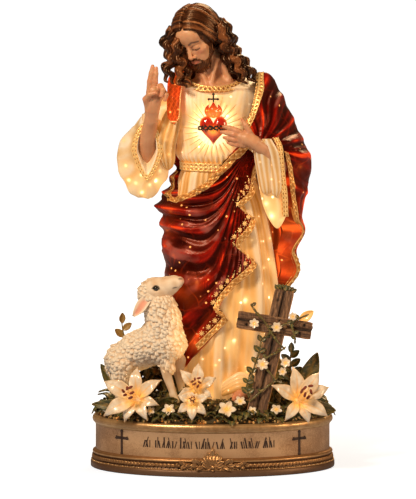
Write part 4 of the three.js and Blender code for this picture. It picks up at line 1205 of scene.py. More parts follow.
# Trims: relief strips laid along an edge
def lattice(u, v, gauge):
    """Crossed ribs between two rims, with a bead in each diamond. v runs from 0 to 1 across."""
    a, b = u / gauge + v, u / gauge - v
    ribs = np.maximum(np.abs(np.cos(math.pi * a)) ** 7, np.abs(np.cos(math.pi * b)) ** 7)
    near = np.hypot(np.mod(u / gauge, 1) - 0.5, v - 0.5)
    near = np.minimum(near, np.hypot(np.mod(u / gauge + 0.5, 1) - 0.5, np.abs(v - 0.5) - 0.5))
    bead = bump(near, 0, 0.17)
    rims = bump(v, 0.07, 0.07) + bump(v, 0.93, 0.07)
    return np.clip(np.maximum(np.maximum(ribs * (np.abs(v - 0.5) < 0.42), bead * 0.9), rims), 0, 1)


def double_lattice(u, v, gauge):
    """Two rows of small diamonds."""
    return np.maximum(lattice(u, np.mod(2 * v, 1.0001), gauge) * (np.abs(v - 0.5) < 0.44),
                      lattice(u, v, gauge) * (np.abs(v - 0.5) > 0.4))


def blossoms(u, v, gauge):
    """A winding stem with a blossom on each side of it in turn, between two rims."""
    run = u / gauge
    stem = bump(v - 0.5 - 0.2 * np.sin(TAU * run), 0, 0.06)
    made = stem * 0.7
    for off, side in ((0.25, -1), (0.75, 1)):
        du = (np.mod(run - off + 0.5, 1) - 0.5) * gauge / 5.0
        dv = (v - 0.5 + side * 0.17) * 1.05
        reach, way = np.hypot(du, dv), np.arctan2(dv, du)
        petals = np.exp(-((reach / (0.17 + 0.07 * np.cos(5 * way))) ** 4))
        made = np.maximum(made, petals * (0.75 + 0.25 * bump(reach, 0, 0.06)))
    rims = bump(v, 0.05, 0.045) + bump(v, 0.95, 0.045)
    return np.clip(np.maximum(made, rims), 0, 1)


def trim(surface, relief, gauge, rise=0.55, lift=0.5, thick=1.2, glow=0.0, low=0.12):
    """A trim on a grid of points, its rows along it. Its ground takes the relief mark `low`."""
    surface = np.asarray(surface)
    run = np.concatenate([[0], np.cumsum(np.linalg.norm(np.diff(surface.mean(1), axis=0), axis=1))])
    rows, cols = surface.shape[:2]
    u, v = run[:, None] * np.ones(cols), np.linspace(0, 1, cols) * np.ones((rows, 1))
    height = relief(u, v, gauge)
    along, across = np.gradient(surface, axis=0), np.gradient(surface, axis=1)
    normal = unit(np.cross(across, along))
    outward_now = ((surface[..., :2] - FIGURE_AXIS) * normal[..., :2]).sum(-1)
    normal = normal * (1 if outward_now.mean() > 0 else -1)
    top = surface + normal * (lift + rise * height)[..., None]
    return shell(top, surface - normal * thick, relief=low + (0.97 - low) * height,
                 glow=glow * np.ones((rows, cols)))


def build_belt_and_collar():
    z = np.linspace(212.5, 218.5, 16) * np.ones((200, 1))
    turn = np.linspace(rad(-100), rad(60), 200)[:, None] * np.ones(16)
    piece("gilt_belt", trim(body_point(turn, z, out=0.6), double_lattice, gauge=3.4, rise=0.6,
                            lift=0.8, thick=2.5, glow=0.2, low=0.5), GILT, "figure")
    a = np.linspace(0, TAU, 261)[:, None] * np.ones(TRIM_ACROSS)
    v = shares(261, TRIM_ACROSS)[1]
    round_neck = np.stack([1 + (18.4 + 2.6 * v) * np.sin(a), 2.5 - (14.4 + 2.2 * v) * np.cos(a),
                           279.6 - 6.5 * np.cos(a) - 3.4 * v - 1.2 * np.abs(np.sin(a)) * v], -1)
    piece("gilt_collar", trim(round_neck, lattice, gauge=3.4, rise=0.5, lift=0.3, thick=2.0,
                              glow=0.06), GILT, "figure")


def build_heart_rays():
    """Thin raised rays on the robe round the heart, long and short in turn."""
    forms, count = [], 28
    for k in range(count):
        a = k * TAU / count + 0.06
        long = 24.0 if k % 2 else 20.0
        reach = np.linspace(11.5, long, 12)
        x, z = HEART[0] + reach * np.sin(a), HEART[2] + reach * np.cos(a)
        keep = (z > 220.5) & (z < 268)
        if keep.sum() < 4:
            continue
        x, z = x[keep], z[keep]
        turn = body_turn(x, z)
        out, _ = robe_fold(turn, z)
        path = body_point(turn, z, out=out + 0.25)
        forms.append(tube(path, np.linspace(0.32, 0.12, len(path)), sides=4, relief=0.72,
                          glow=0.35))
    piece("gilt_rays", together(forms), GILT, "figure")


# The mantle wrapped round the body: its top edge, and its lower edge with the zigzag of tails in
# front
WRAP_TOP = [[36, 232], [20, 225], [2, 214.4], [-16, 205], [-38, 197.5], [-58, 193.4], [-70, 194.5],
            [-80, 205], [-95, 228], [-112, 252], [-130, 270], [-145, 276], [-175, 279], [-205, 277],
            [-238, 272]]
HEM_FRONT = [[34, 217], [31.5, 203], [26, 193], [20.6, 187.3], [25.4, 182], [31.6, 177.6],
             [27, 170], [20.8, 162.3], [20.4, 156.6], [25.4, 152.4], [30.4, 149], [31.2, 145.6],
             [22, 136.2], [12.5, 127], [5.8, 119.4], [3.6, 112], [7.4, 109], [11.2, 106.6],
             [4, 99.5], [-9, 86.6], [-16.4, 79]]
HEM_BACK = [[-42, 74], [-60, 70], [-100, 66], [-140, 67], [-180, 70], [-210, 82], [-238, 96]]


def edge_rows(rows):
    """Rows of [turn in degrees, z] along an edge, each with its share of the run put before it."""
    rows = np.array(rows, float)
    run = lengths_along(rows * [0.6, 1])
    return np.column_stack([run / run[-1], rows])


TOP_ROWS = edge_rows(WRAP_TOP)
HEM_ROWS = edge_rows([[math.degrees(float(body_turn(x, z, out=4.0))), z]
                      for x, z in HEM_FRONT] + HEM_BACK)
GATHER = (26.0, 226.0)
HEM_WAVE = 9.0


def swag_phase(x, z):
    """Folds that fan from the gather, droop to the left hip and fall straight below."""
    dx, dz = x - GATHER[0], z - GATHER[1]
    reach = np.hypot(dx, dz)
    angle = np.degrees(np.arctan2(-dx, -dz))
    side = ease(8, 50, angle)
    growth = 1 + 1.8 * ease(20, 110, reach) * side + 0.9 * ease(80, 150, reach) * (1 - side)
    root = angle / growth
    folds = np.where(root > 0, 13 * (1 - np.exp(-root / 24)), 13 / 24 * root)
    spread = np.where(root > 0, 13 / 24 * np.exp(-root / 24), 13 / 24)
    width = reach * np.radians(growth) / np.maximum(spread, 0.05)
    return folds * TAU, width, reach


def wrap_fold(turn, z):
    """How far the mantle stands off the body, and how near each point is to the top of its fold."""
    flat = body_point(turn, z, out=5.0)
    x = flat[..., 0]
    wobble = ripple(flat, size=60.0, seed=4) * 0.7
    phase, width, reach = swag_phase(x, z)
    swags = ridge(phase + 1.9 + wobble)
    small = ridge(2 * phase + 1.0 + 1.6 * ripple(flat, size=45.0, seed=6))
    fine = ridge(5 * phase + 2.0 * ripple(flat, size=30.0, seed=7))
    size = np.clip(0.5 * width, 0.5, 5.2) * ease(2, 22, reach)
    front = ease(rad(-128), rad(-88), turn)
    hanging = ridge(11 * turn + 0.8 * np.sin(z / 38) + wobble)
    hanging_small = ridge(23 * turn + 1.7 * np.sin(z / 30))
    back_size = 5.5 * ease(282, 250, z)
    out = front * size * (swags - 0.1 + 0.36 * small + 0.07
                          * fine) + (1 - front) * back_size * (hanging + 0.3 * hanging_small)
    hip = (1.6 * ease(128, 165, z) * ease(215, 196, z) + 5.6 * bump(z, 187, 8) + 2.6
           * bump(z, 170, 5) + 2.8 * bump(z, 149, 6))
    hip = hip * bump(np.degrees(turn), -88, 30)
    lines = ((0.66 * swags + 0.34 * small + 0.16 * fine)
             * (0.92 + 0.22 * ripple(flat, size=16.0, seed=34)))
    mark = front * lines + (1 - front) * (0.75 * hanging + 0.3 * hanging_small)
    # Raised to a power so only the crests stay high: thin painted highlight lines in the red
    # finish.
    return out + hip, np.clip(mark / 0.8, 0, 1) ** 1.6


def wrap_place(s, t):
    """A turn and a height on the mantle: s from the front edge round, t down to the hem."""
    top, hem = straight(TOP_ROWS, s), straight(HEM_ROWS, s)
    return rad(top[0] + (hem[0] - top[0]) * t), top[1] + (hem[1] - top[1]) * t


def wrap_surface(s, t, out=3.2):
    """The mantle's outer surface at s and t, and its fold marks."""
    turn, z = wrap_place(s, t)
    fold, mark = wrap_fold(turn, z)
    edge = np.minimum(ease(0, 0.07, t), ease(1.0, 0.9, t))
    edge = 0.35 + 0.65 * edge
    pleat = 2.6 * np.cos(HEM_WAVE * s * TAU) * ease(0.7, 1.0, t) * (s < 0.46)
    clear = robe_fold(turn, z)[0] + 1.4
    return body_point(turn, z, out=np.maximum(out + fold * edge + pleat, clear + out - 3.2)), mark


def mantle_light(points, mark):
    """The glow in the mantle: at its left side, its front edge and low down."""
    x, z = points[..., 0], points[..., 2]
    left = bump(x, -36, 12) * bump(z, 165, 40) + 0.8 * bump(x, -28, 20) * bump(z, 110, 36)
    edge = 0.7 * bump(x, 22, 9) * bump(z, 165, 26)
    low = 0.5 * ease(140, 80, z)
    uneven = np.clip(0.5 + 0.7 * ripple(points, size=26.0, seed=12), 0, 1.3)
    soft = (0.04 + (0.34 * left + 0.3 * edge + 0.36 * low) * uneven) * (0.35 + 0.75 * mark)
    return np.clip(soft + 0.2 * ease(150, 90, z) * uneven + 0.8 * spot_light(points, size=5.0), 0,
                   1)


def build_mantle_wrap():
    t, s = shares(86, 230)
    front, mark = wrap_surface(s, t)
    back = body_point(*wrap_place(s, t), -3.0)
    piece("mantle_wrap", shell(front, back, fold=mark, glow=mantle_light(front, mark)), RED,
          "figure")
    length = np.linalg.norm(np.diff(front, axis=0), axis=-1).sum(0)

    def edging(name, low, high, start, width, gauge, count, from_hem):
        """A trim of even width along the top edge or the hem, between two shares of its run."""
        share = np.linspace(low, high, count)
        size = np.interp(share, s[0], length)
        v = np.linspace(0, 1, TRIM_ACROSS)
        near, far = start / size, np.minimum((start + width) / size, 0.8)
        t_here = near[:, None] + (far - near)[:, None] * v
        t_here = 1 - t_here if from_hem else t_here
        surface, _ = wrap_surface(share[:, None] * np.ones(TRIM_ACROSS), t_here)
        strip = trim(surface, blossoms, gauge=gauge, rise=0.5, lift=0.45, thick=1.5,
                     glow=0.15 + 0.2 * from_hem, low=0.38)
        piece(name, strip, GILT, "figure")

    edging("mantle_top_border", low=0.0, high=0.42, start=0.4, width=5.8, gauge=4.8, count=310,
           from_hem=False)
    edging("mantle_hem_border", low=0.02, high=0.56, start=0.3, width=5.0, gauge=4.4, count=380,
           from_hem=True)
    star_row(length, s[0])


def star_form():
    """A small eight-rayed flower."""
    forms = [tube([[0, 0, 0], [0.8 * math.sin(a), 0.8 * math.cos(a), 0.25],
                   [1.7 * math.sin(a), 1.7 * math.cos(a), 0]], [0.2, 0.36, 0.1], sides=4)
             for a in np.arange(8) * TAU / 8]
    return together([*forms, bead_form().placed(sized(0.5))])


def star_row(length, share_of):
    """Gilt star flowers on the red, just inside the hem border."""
    star, forms = star_form(), []
    for k, s in enumerate(np.arange(0.07, 0.55, 0.0095)):
        size = float(np.interp(s, share_of, length))
        for inset, scale in ((8.4, 1.3),) if k % 2 else ((7.0, 0.3), (10.4, 0.36)):
            t = 1 - inset / size
            if t < 0.35:
                continue
            spot = np.array([[s, t], [s + 0.002, t], [s, t - 0.006]])
            (p, q, r), _ = wrap_surface(spot[:, 0], spot[:, 1])
            normal = np.cross(q - p, r - p)
            normal = normal if normal[:2] @ (p[:2] - FIGURE_AXIS) > 0 else -normal
            forms.append(star.placed(pose(at(*(p + unit(normal) * 0.5)), facing(normal),
                                          sized(scale)), relief=0.85, glow=0.3))
    piece("mantle_star_flowers", together(forms), GILT, "figure")


# The mantle over the viewer's right shoulder and arm, hanging from the forearm: curves from its
# front edge to its back, each a row of [run, x, y, z]
ARM_EDGE = [[0, 31, 3, 281], [0.1, 30.5, -8, 270], [0.2, 27, -17, 256], [0.3, 22.5, -21.5, 243],
            [0.38, 28, -24, 236], [0.46, 38, -26, 233.5], [0.55, 49.5, -22.5, 229.5],
            [0.62, 53, -19, 217], [0.72, 55, -16, 200], [0.82, 58.5, -14, 179],
            [0.88, 63.5, -6, 168.5], [0.92, 56, -5, 155], [0.96, 59.5, 2, 140], [1, 51, 4, 127.5]]
ARM_FRONT = [[0, 38, 4, 279.5], [0.1, 40, -7, 268], [0.2, 41, -14, 255], [0.3, 43, -18, 244],
             [0.38, 48, -21, 238], [0.46, 56, -20, 232], [0.55, 63, -16, 224],
             [0.62, 63.5, -12, 212], [0.72, 62.5, -10, 196], [0.82, 62, -6, 179],
             [0.88, 64, 0, 168], [0.92, 58, 1, 155], [0.96, 60, 5, 140], [1, 52, 8, 127.5]]
ARM_SIDE = [[0, 44, 8, 275.5], [0.1, 50, 5, 264], [0.2, 56.5, 3, 250], [0.3, 62, 1, 238],
            [0.38, 66.5, 0, 229], [0.46, 69.6, -1, 219], [0.55, 69, 0, 209], [0.62, 67, 2, 200],
            [0.72, 64, 5, 189], [0.82, 59.5, 7, 180], [0.88, 61.5, 8, 167], [0.92, 56.5, 8, 155],
            [0.96, 57.5, 10, 140], [1, 50, 13, 127]]
ARM_BACK = [[0, 35, 17, 276], [0.2, 45, 21, 255], [0.46, 52, 23, 224], [0.62, 50, 22, 200],
            [0.82, 46, 24, 176], [1, 42, 24, 126]]
ARM_ROOT = [[0, 22, 22, 275], [0.2, 28, 27, 252], [0.46, 32, 29, 222], [0.62, 32, 30, 200],
            [0.82, 32, 32, 172], [1, 32, 33, 122]]
WRIST = (35.0, 231.0)


def arm_surface(s, t):
    """The mantle over the arm, s down it and t from its front edge round, with its marks."""
    curves = np.stack([keyed(rows, s)
                       for rows in (ARM_EDGE, ARM_FRONT, ARM_SIDE, ARM_BACK, ARM_ROOT)])
    place = np.array([0, 0.22, 0.5, 0.78, 1.0])
    k = np.clip(np.searchsorted(place, t) - 1, 0, 3)
    pick = lambda n: np.take_along_axis(curves, np.clip(n, 0, 4)[None, None]
                                        * np.ones((1, 3, 1, 1), int), 0)[0]
    a, b, before, after = pick(k), pick(k + 1), pick(k - 1), pick(k + 2)
    w = (t - place[k]) / (place[k + 1] - place[k])
    w2, w3 = w * w, w * w * w
    points = (2 * w3 - 3 * w2 + 1) * a + (w3 - 2 * w2 + w) * (b - before) / 2
    points = points + (3 * w2 - 2 * w3) * b + (w3 - w2) * (after - a) / 2
    points = np.moveaxis(points, 0, -1)
    dx, dz = points[..., 0] - WRIST[0], points[..., 2] - WRIST[1]
    reach = np.hypot(dx, dz)
    angle = np.arctan2(dx, dz)
    wobble = ripple(points, size=45.0, seed=9)
    fan = 0.8 * (0.5 + 0.5 * np.cos(13 * angle + 1.6 * wobble + 0.5)) ** 1.6
    fan_small = ridge(34 * angle + 2.4 * wobble)
    fall = ridge(TAU * 5.5 * t + 1.3 * wobble)
    low = ease(208, 184, points[..., 2]) * ease(0, 0.06, s)
    rear = ease(0.55, 0.7, t)
    fan_share = (1 - low) * (1 - rear)
    size = np.clip(0.1 * reach, 0.2, 3.2) * (0.45 + 0.55 * ease(0.5, 0.3, t))
    out = fan_share * size * (fan + 0.25 * fan_small) + (1 - fan_share) * 2.6 * fall
    mark = fan_share * (0.62 * fan + 0.5 * fan_small) / 0.8 + (1 - fan_share) * fall / 0.8
    # Lower marks over the top of the shoulder: fainter painted highlights there.
    mark = (mark * (0.8 + 0.35 * ripple(points, size=14.0, seed=33))
            * (1 - 0.4 * ease(258, 272, points[..., 2])))
    return points, out, np.clip(mark, 0, 1) ** 1.7


def arm_skin(s, t, lift=0.0):
    """The folded surface over the arm, its outward ways and its marks."""
    points, out, mark = arm_surface(s, t)
    ds, dt = np.gradient(points, axis=0), np.gradient(points, axis=1)
    normal = unit(np.cross(ds, dt))
    arm_axis = (36, 4)
    if ((points[..., :2] - arm_axis) * normal[..., :2]).sum(-1).mean() < 0:
        normal = -normal
    edge = 0.25 + 0.75 * ease(0, 0.06, t)
    return points + normal * (out * edge + lift)[..., None], normal, mark


def build_mantle_arm():
    skin_points, normal, mark = arm_skin(*shares(156, 112))
    core = body_point(np.arctan2(skin_points[..., 0] - 4, -(skin_points[..., 1] - 6)),
                      skin_points[..., 2], out=-4.0)
    deep = skin_points - normal * 5.0
    inner = np.where((skin_points[..., 2:] > 222), deep, deep * 0.6 + core * 0.4)
    light = np.clip(0.05 + 0.75 * ease(232, 150, skin_points[..., 2]), 0, 0.8) * (0.3 + 0.7 * mark)
    light = np.clip(light + 0.8 * spot_light(skin_points, size=5.0), 0, 1)
    form = shell(skin_points, inner, fold=np.clip(mark + 0.16, 0, 1), glow=light)
    piece("mantle_arm", form, RED, "figure")

    def edging(name, low, high, width, relief, gauge, count, glow):
        """A trim of even width down the front edge."""
        reach = 0.22
        s_here = np.linspace(low, high, count)[:, None] * np.ones(TRIM_ACROSS)
        ends, _, _ = arm_skin(s_here, np.linspace(0, reach, TRIM_ACROSS) * np.ones((count, 1)))
        size = np.linalg.norm(ends[:, -1] - ends[:, 0], axis=-1)
        t_here = reach * np.clip(width / size, 0, 1)[:, None] * np.linspace(0.02, 1, TRIM_ACROSS)
        surface, _, _ = arm_skin(s_here, t_here)
        piece(name, trim(surface, relief, gauge=gauge, rise=0.5, lift=0.45, thick=1.5, glow=glow,
                         low=0.34), GILT, "figure")

    edging("mantle_shoulder_border", low=0.0, high=0.31, width=6.0, relief=double_lattice,
           gauge=3.0, count=200, glow=0.12)
    edging("mantle_drape_border", low=0.56, high=0.995, width=4.6, relief=blossoms, gauge=4.4,
           count=210, glow=0.25)


# Sleeves and shoulder strip. The wide sleeve: [share, x, y, z, half width, half height, turn, how
# pointed its foot is, how much its top leans in on the viewer's left]
WIDE_SLEEVE = [[0, -24, 7, 258, 9, 13, -75, 0, 0], [0.25, -37, 6, 245, 12, 18, -50, 0, 0.2],
               [0.5, -46, 3, 229, 15.5, 24.5, -20, 0.1, 0.6],
               [0.75, -49, -5, 222.5, 18.4, 28.5, -5, 0.12, 0.9],
               [1, -46.5, -15, 227, 11, 20.4, 0, 0.45, 0],]


def sleeve_surface(share, angle):
    """A place on the wide sleeve: a share of the way to the mouth, an angle from the top."""
    x, y, z, half_width, half_height, turn, foot, peak = keyed(WIDE_SLEEVE, share)
    down = np.clip(-np.cos(angle), 0, 1)
    up = np.clip(np.cos(angle), 0, 1) ** 2 * np.clip(-4 * np.sin(angle), 0, 1)
    across = np.sin(angle) * half_width * (1 - foot * down - peak * up)
    fold = (ridge(8 * angle + 3.4 * share + 0.6 * np.sin(3 * angle)) * ease(0.2, 0.7, share)
            * ease(1.0, 0.86, share))
    hang = ridge(15 * angle - 2 * share + 1.0) * ease(0.4, 0.8, share) * ease(1.0, 0.9, share)
    size = 1 + 0.075 * fold + 0.03 * hang + 0.035 * np.sin(share * 19)
    turn = rad(turn)
    points = np.stack([x + across * size * np.cos(turn), y + across * size * np.sin(turn),
                       z + np.cos(angle) * half_height * size], -1)
    return points, np.clip(0.35 + 0.9 * fold + 0.4 * hang, 0, 1)


# The sleeve's open mouth, and the rings of its lining: [depth, half width, half height, lift, how
# pointed its foot is, mark, falling deeper in for painted shade inside the sleeve]
MOUTH_X, MOUTH_Z = -46.5, 227
LINING = [[-0.4, 7.2, 16.5, 0, 0.5, 0.9], [0.6, 6.6, 15.4, 0.6, 0.5, 0.75],
          [4.0, 6.4, 13.2, 2.0, 0.52, 0.62], [7.0, 6.2, 11.2, 4.2, 0.56, 0.5],
          [10.0, 6.0, 9.4, 6.0, 0.6, 0.3], [13.0, 5.8, 8.4, 7.0, 0.62, 0.05],
          [20.0, 5.0, 7.0, 7.0, 0.6, 0.0]]


def build_wide_sleeve():
    rows, cols = 80, 150
    share, angle = shares_round(rows, cols)
    outer, mark = sleeve_surface(share, angle)
    inner, inner_mark = [], []
    a = angle[0]
    down = np.clip(-np.cos(a), 0, 1)
    for k, (depth, wide, tall, lift, foot, tone) in enumerate(LINING):
        across = np.sin(a) * wide * (1 - foot * down)
        crease = 0.45 * ridge(9 * a + k) * (0 < k < 6)
        inner.append(np.stack([MOUTH_X + across, -15.2 + depth + crease, MOUTH_Z + lift + np.cos(a)
                               * tall], -1))
        inner_mark.append(np.full(cols, tone))
    rings = np.concatenate([outer, np.array(inner)])
    marks = np.concatenate([mark, np.array(inner_mark)])
    light = 0.1 + 0.75 * ease(226, 200, rings[..., 2]) + 0.4 * ease(-42, -32, rings[..., 0])
    light = light * (0.8 + 0.45 * ripple(rings, size=22.0, seed=31)) + spot_light(rings)
    light[rows + 1:] = 0.03
    gather, tuck = lobe([[213, -33, -8, 0.8, 1], [215.5, -33, -9, 3.2, 3],
                         [222, -32.6, -10, 5.2, 5], [238, -31.6, -11.5, 6.4, 6],
                         [250, -30.4, -10.5, 5.6, 6], [258, -28, -7, 3.6, 4]], low=213, high=258,
                        folds=10, deep=0.3, cols=90, count=54)
    gather = gather + np.stack([1.2 * np.sin(gather[..., 2] / 6.4),
                                -0.5 * np.sin(gather[..., 2] / 2.9 + 1), 0 * gather[..., 2]], -1)
    tucked = loft(gather, fold=tuck * 0.5, glow=0.34 + 0.2 * ripple(gather, size=14.0, seed=36)
                  + 0.7 * spot_light(gather))
    piece("wide_sleeve", together([loft(rings, fold=marks, glow=light), tucked]), CREAM,
          "figure")
    count = 200
    a = rad(np.linspace(14, 346, count))[:, None] * np.ones(TRIM_ACROSS)
    v = shares(count, TRIM_ACROSS)[1]
    wide, tall = 11.1 - 3.8 * v, 20.4 - 3.8 * v
    across = np.sin(a) * wide * (1 - 0.47 * np.clip(-np.cos(a), 0, 1))
    surface = np.stack([MOUTH_X + across, -15.1 - 0.5 * v, MOUTH_Z + np.cos(a) * tall], -1)
    strip = trim(surface, double_lattice, gauge=3.0, rise=0.5, lift=0.5, thick=1.0, glow=0.25,
                 low=0.5)
    piece("wide_sleeve_trim", strip, GILT, "figure")


def lobe(rows, low, high, folds, deep, cols=64, count=56):
    """A hanging fold of cloth: rows of [z, x, y, half width, half depth], with pleats down it."""
    z = np.linspace(low, high, count)[:, None] * np.ones(cols)
    x, y, half_width, half_depth = keyed(rows, z)
    a = np.arange(cols) * TAU / cols * np.ones((count, 1))
    pleat = ridge(folds * a + 0.03 * z + 0.9 * np.sin(z / 11 + 2 * a))
    size = 1 + deep * pleat
    rings = np.stack([x + half_width * size * np.sin(a), y - half_depth * size * np.cos(a), z], -1)
    return rings, np.clip(0.3 + pleat, 0, 1)


def build_hanging_sleeve():
    layers = (([[172, 46, -13, 0.8, 1], [174, 46, -13, 2.6, 2], [181, 45.6, -13, 6.0, 4],
                [190, 45, -13, 8.6, 5], [204, 43.5, -13, 9.8, 6], [220, 41.5, -14, 9.6, 6],
                [234, 39, -17, 6, 5]], 172, 234, 7, 0.2, 0.95, 0.4),
              ([[196.6, 38.4, -18, 0.6, 1], [198, 38.4, -18.4, 3.0, 2.6], [203, 38, -19, 4.5, 4],
                [214, 37, -20.5, 5.4, 5], [228, 35.6, -23, 5.8, 5.6], [236, 34.6, -25, 4, 5]],
               196.6, 236, 8, 0.16, 0.28, 0.5),
              ([[195, 45, -19, 0.6, 1], [196.6, 45, -19.4, 2.6, 2.6], [202, 45.2, -20, 4.2, 4],
                [214, 44.4, -20.6, 4.6, 5], [228, 42, -22, 4.8, 6], [237, 38.5, -24, 3.4, 5]], 195,
               237, 7, 0.16, 0.25, 0.5),)
    forms = []
    for rows, low, high, folds, deep, light, tone in layers:
        rings, mark = lobe(rows, low=low, high=high, folds=folds, deep=deep)
        glow = light * ease(high, low + 8, rings[..., 2]) + 0.04 + spot_light(rings) * (light > 0.5)
        forms.append(loft(rings, fold=np.clip(mark * 0.75 + tone * 0.5 - 0.2, 0, 1), glow=glow))
    piece("hanging_sleeve", together(forms), CREAM, "figure")
    path = through([[44.6, -25.5, 238], [47.6, -25, 231], [49, -22.5, 215], [51, -20.5, 196],
                    [51.8, -18.5, 181]], 110)
    across = np.linspace(-2.0, 2.0, 16)
    surface = path[:, None] + across[None, :, None] * unit(np.array([0.93, 0.36, 0.0]))
    piece("hanging_sleeve_trim", trim(surface, double_lattice, gauge=3.2, rise=0.5, lift=0.4,
                                      thick=1.6, glow=0.3, low=0.35), GILT, "figure")


STRIP = [[0, -21, 6, 282.5, 5.5], [0.25, -25.6, -5, 278.5, 5.8], [0.5, -27.4, -14.4, 268, 5.0],
         [0.8, -27.8, -18.0, 256, 4.6], [0.93, -27.8, -18.4, 250.8, 3.6],
         [1, -27.7, -17.8, 247.4, 0.6]]


def build_shoulder_strip():
    t = shares(80, 30)[0]
    v = np.linspace(-1, 1, 30) * np.ones((80, 1))
    x, y, z, half = keyed(STRIP, t)
    folds = ridge(9 * v + 5 * t + 0.8 * np.sin(9 * t)) * 0.5
    web = np.maximum(np.abs(np.cos(5.5 * v + 34 * t + np.sin(13 * t))),
                     np.abs(np.cos(4.5 * v - 27 * t + 2 * np.sin(7 * t)))) ** 14
    front = np.stack([x + v * half, y - folds * (1 - np.abs(v)) - 0.6 + 1.4 * v * v - 0.25 * web,
                      z + 0.2 * folds], -1)
    back = front + np.array([0.0, 5.0, -1.6])
    form = shell(front, back, fold=np.clip(0.64 + 0.14 * web + 0.4 * folds, 0, 1),
                 glow=(0.4 + 0.35 * t) * (0.85 + 0.15 * web))
    piece("shoulder_strip", form, RED, "figure")
    bead = bead_form()
    edge = [front[k, 28] for k in range(3, 78, 2)] + [front[77, c] for c in range(3, 27, 3)]
    piece("shoulder_strip_beads",
          together(bead.placed(pose(at(p[0], p[1] - 0.25, p[2]), sized(0.55)), relief=0.9, glow=0.5)
                   for p in edge), GILT, "figure")


# The head, in its own frame: face towards -y, then bowed, turned and leaned
HEAD_POSE = pose(at(-11, -6, 307), turn_y(-10), turn_z(-32), turn_x(28))


def face_field(p):
    q = mirrored(p, 0)
    made = melt(ball_field(p, (0, 2, 4), (12.4, 15.6, 16)),
                ball_field(p, (0, -5.4, -7.4), (9.6, 9.2, 12.4)), 3.0)
    made = melt(made, ball_field(p, (0, -10.0, 9.0), (8.6, 5.2, 7.0)), 3.0)
    made = melt(made, ball_field(q, (6.6, -8.4, -2.8), (3.6, 3.8, 2.8)), 2.4)
    made = melt(made, ball_field(p, (0, -12.4, -16.2), (3.6, 3.0, 3.0)), 2.4)
    made = melt(made, rod_field(q, (1.8, -13.8, 4.6), (7.4, -10.4, 4.4), 1.0, 0.9), 1.5)
    made = carve(made, ball_field(q, (4.7, -14.6, 0.6), (3.3, 2.6, 2.3)), 1.2)
    made = melt(made, ball_field(q, (4.6, -10.6, 0.2), (2.9, 2.9, 2.9)), 0.4)
    lid = ball_field(q, (4.6, -10.6, 0.4), (3.15, 3.2, 3.1))
    lid = np.maximum(lid, -(q[..., 2] + 0.7 + 0.05 * (q[..., 0] - 4.6) ** 2))
    made = melt(made, lid, 0.25)
    under = ball_field(q, (4.6, -10.7, 0.0), (3.1, 3.1, 3.0))
    under = np.maximum(under, q[..., 2] + 1.5 - 0.04 * (q[..., 0] - 4.6) ** 2)
    made = melt(made, under, 0.35)
    made = melt(made, rod_field(p, (0, -13.6, 3.2), (0, -17.0, -4.4), 1.1, 1.5), 1.3)
    made = melt(made, ball_field(p, (0, -17.0, -5.0), (1.7, 1.6, 1.5)), 0.6)
    made = melt(made, ball_field(q, (1.9, -14.9, -5.7), (1.2, 1.6, 1.15)), 0.5)
    made = melt(made, ball_field(p, (0, -12.6, -10.0), (4.2, 2.6, 2.6)), 1.2)
    upper = rod_field(q, (0.0, -15.6, -9.2), (3.1, -13.9, -10.0), 0.72, 0.35)
    lower = rod_field(q, (0.0, -15.5, -10.9), (2.5, -14.1, -10.6), 0.85, 0.35)
    made = melt(melt(made, upper, 0.4), lower, 0.4)
    made = carve(made, rod_field(q, (0, -16.1, -10.05), (3.4, -14.1, -10.2), 0.2, 0.15), 0.25)
    ear = np.maximum(ball_field(q, (12.6, 1.4, -0.4), (1.5, 3.0, 4.4)),
                     -ball_field(q, (13.9, 0.8, 0.2), (1.0, 1.9, 2.8)))
    return melt(made, ear, 0.5)


def near_line(points, keys, width):
    """How near each point is to a line of keys, 1 on it and 0 away from it."""
    gap = np.full(len(points), 9.0)
    for a, b in zip(keys, keys[1:]):
        gap = np.minimum(gap, rod_field(points, a, b, 0.0))
    return np.exp(-((gap / width) ** 4))


def build_head():
    form = field_form(face_field, (-15, -20, -21), (15, 19, 21), step=0.55)
    p = form.points
    q = mirrored(p, 0)
    flat, ahead = q * [1, 0, 1], q[:, 1] < -6
    brows = ahead * near_line(flat, [(1.9, 0, 4.9), (4.6, 0, 6.1), (8.0, 0, 4.8)], width=0.8)
    lashes = ahead * near_line(flat, [(1.9, 0, -0.7), (4.6, 0, -1.25), (7.2, 0, -0.7)], width=0.5)
    stubble = 0.5 * ease(-13.2, -14.6, p[:, 2])
    lips = ahead * near_line(flat, [(0, 0, -9.4), (3.0, 0, -10.1), (2.2, 0, -10.8), (0, 0, -11.0)],
                             width=0.85)
    cheeks = 0.35 * np.exp(-(((q - [6.4, -11.0, -3.4]) / [3.2, 4.5, 2.6]) ** 2).sum(1))
    nose = 0.22 * np.exp(-(((q - [0, -18, -5]) / 2.4) ** 2).sum(1))
    form.marks = {"brown": np.clip(np.maximum(brows * 0.85, lashes * 0.9) + stubble, 0, 1),
                  "red": np.clip(lips * 0.75 + cheeks + nose, 0, 1)}
    piece("head", form.placed(HEAD_POSE), SKIN, "figure")


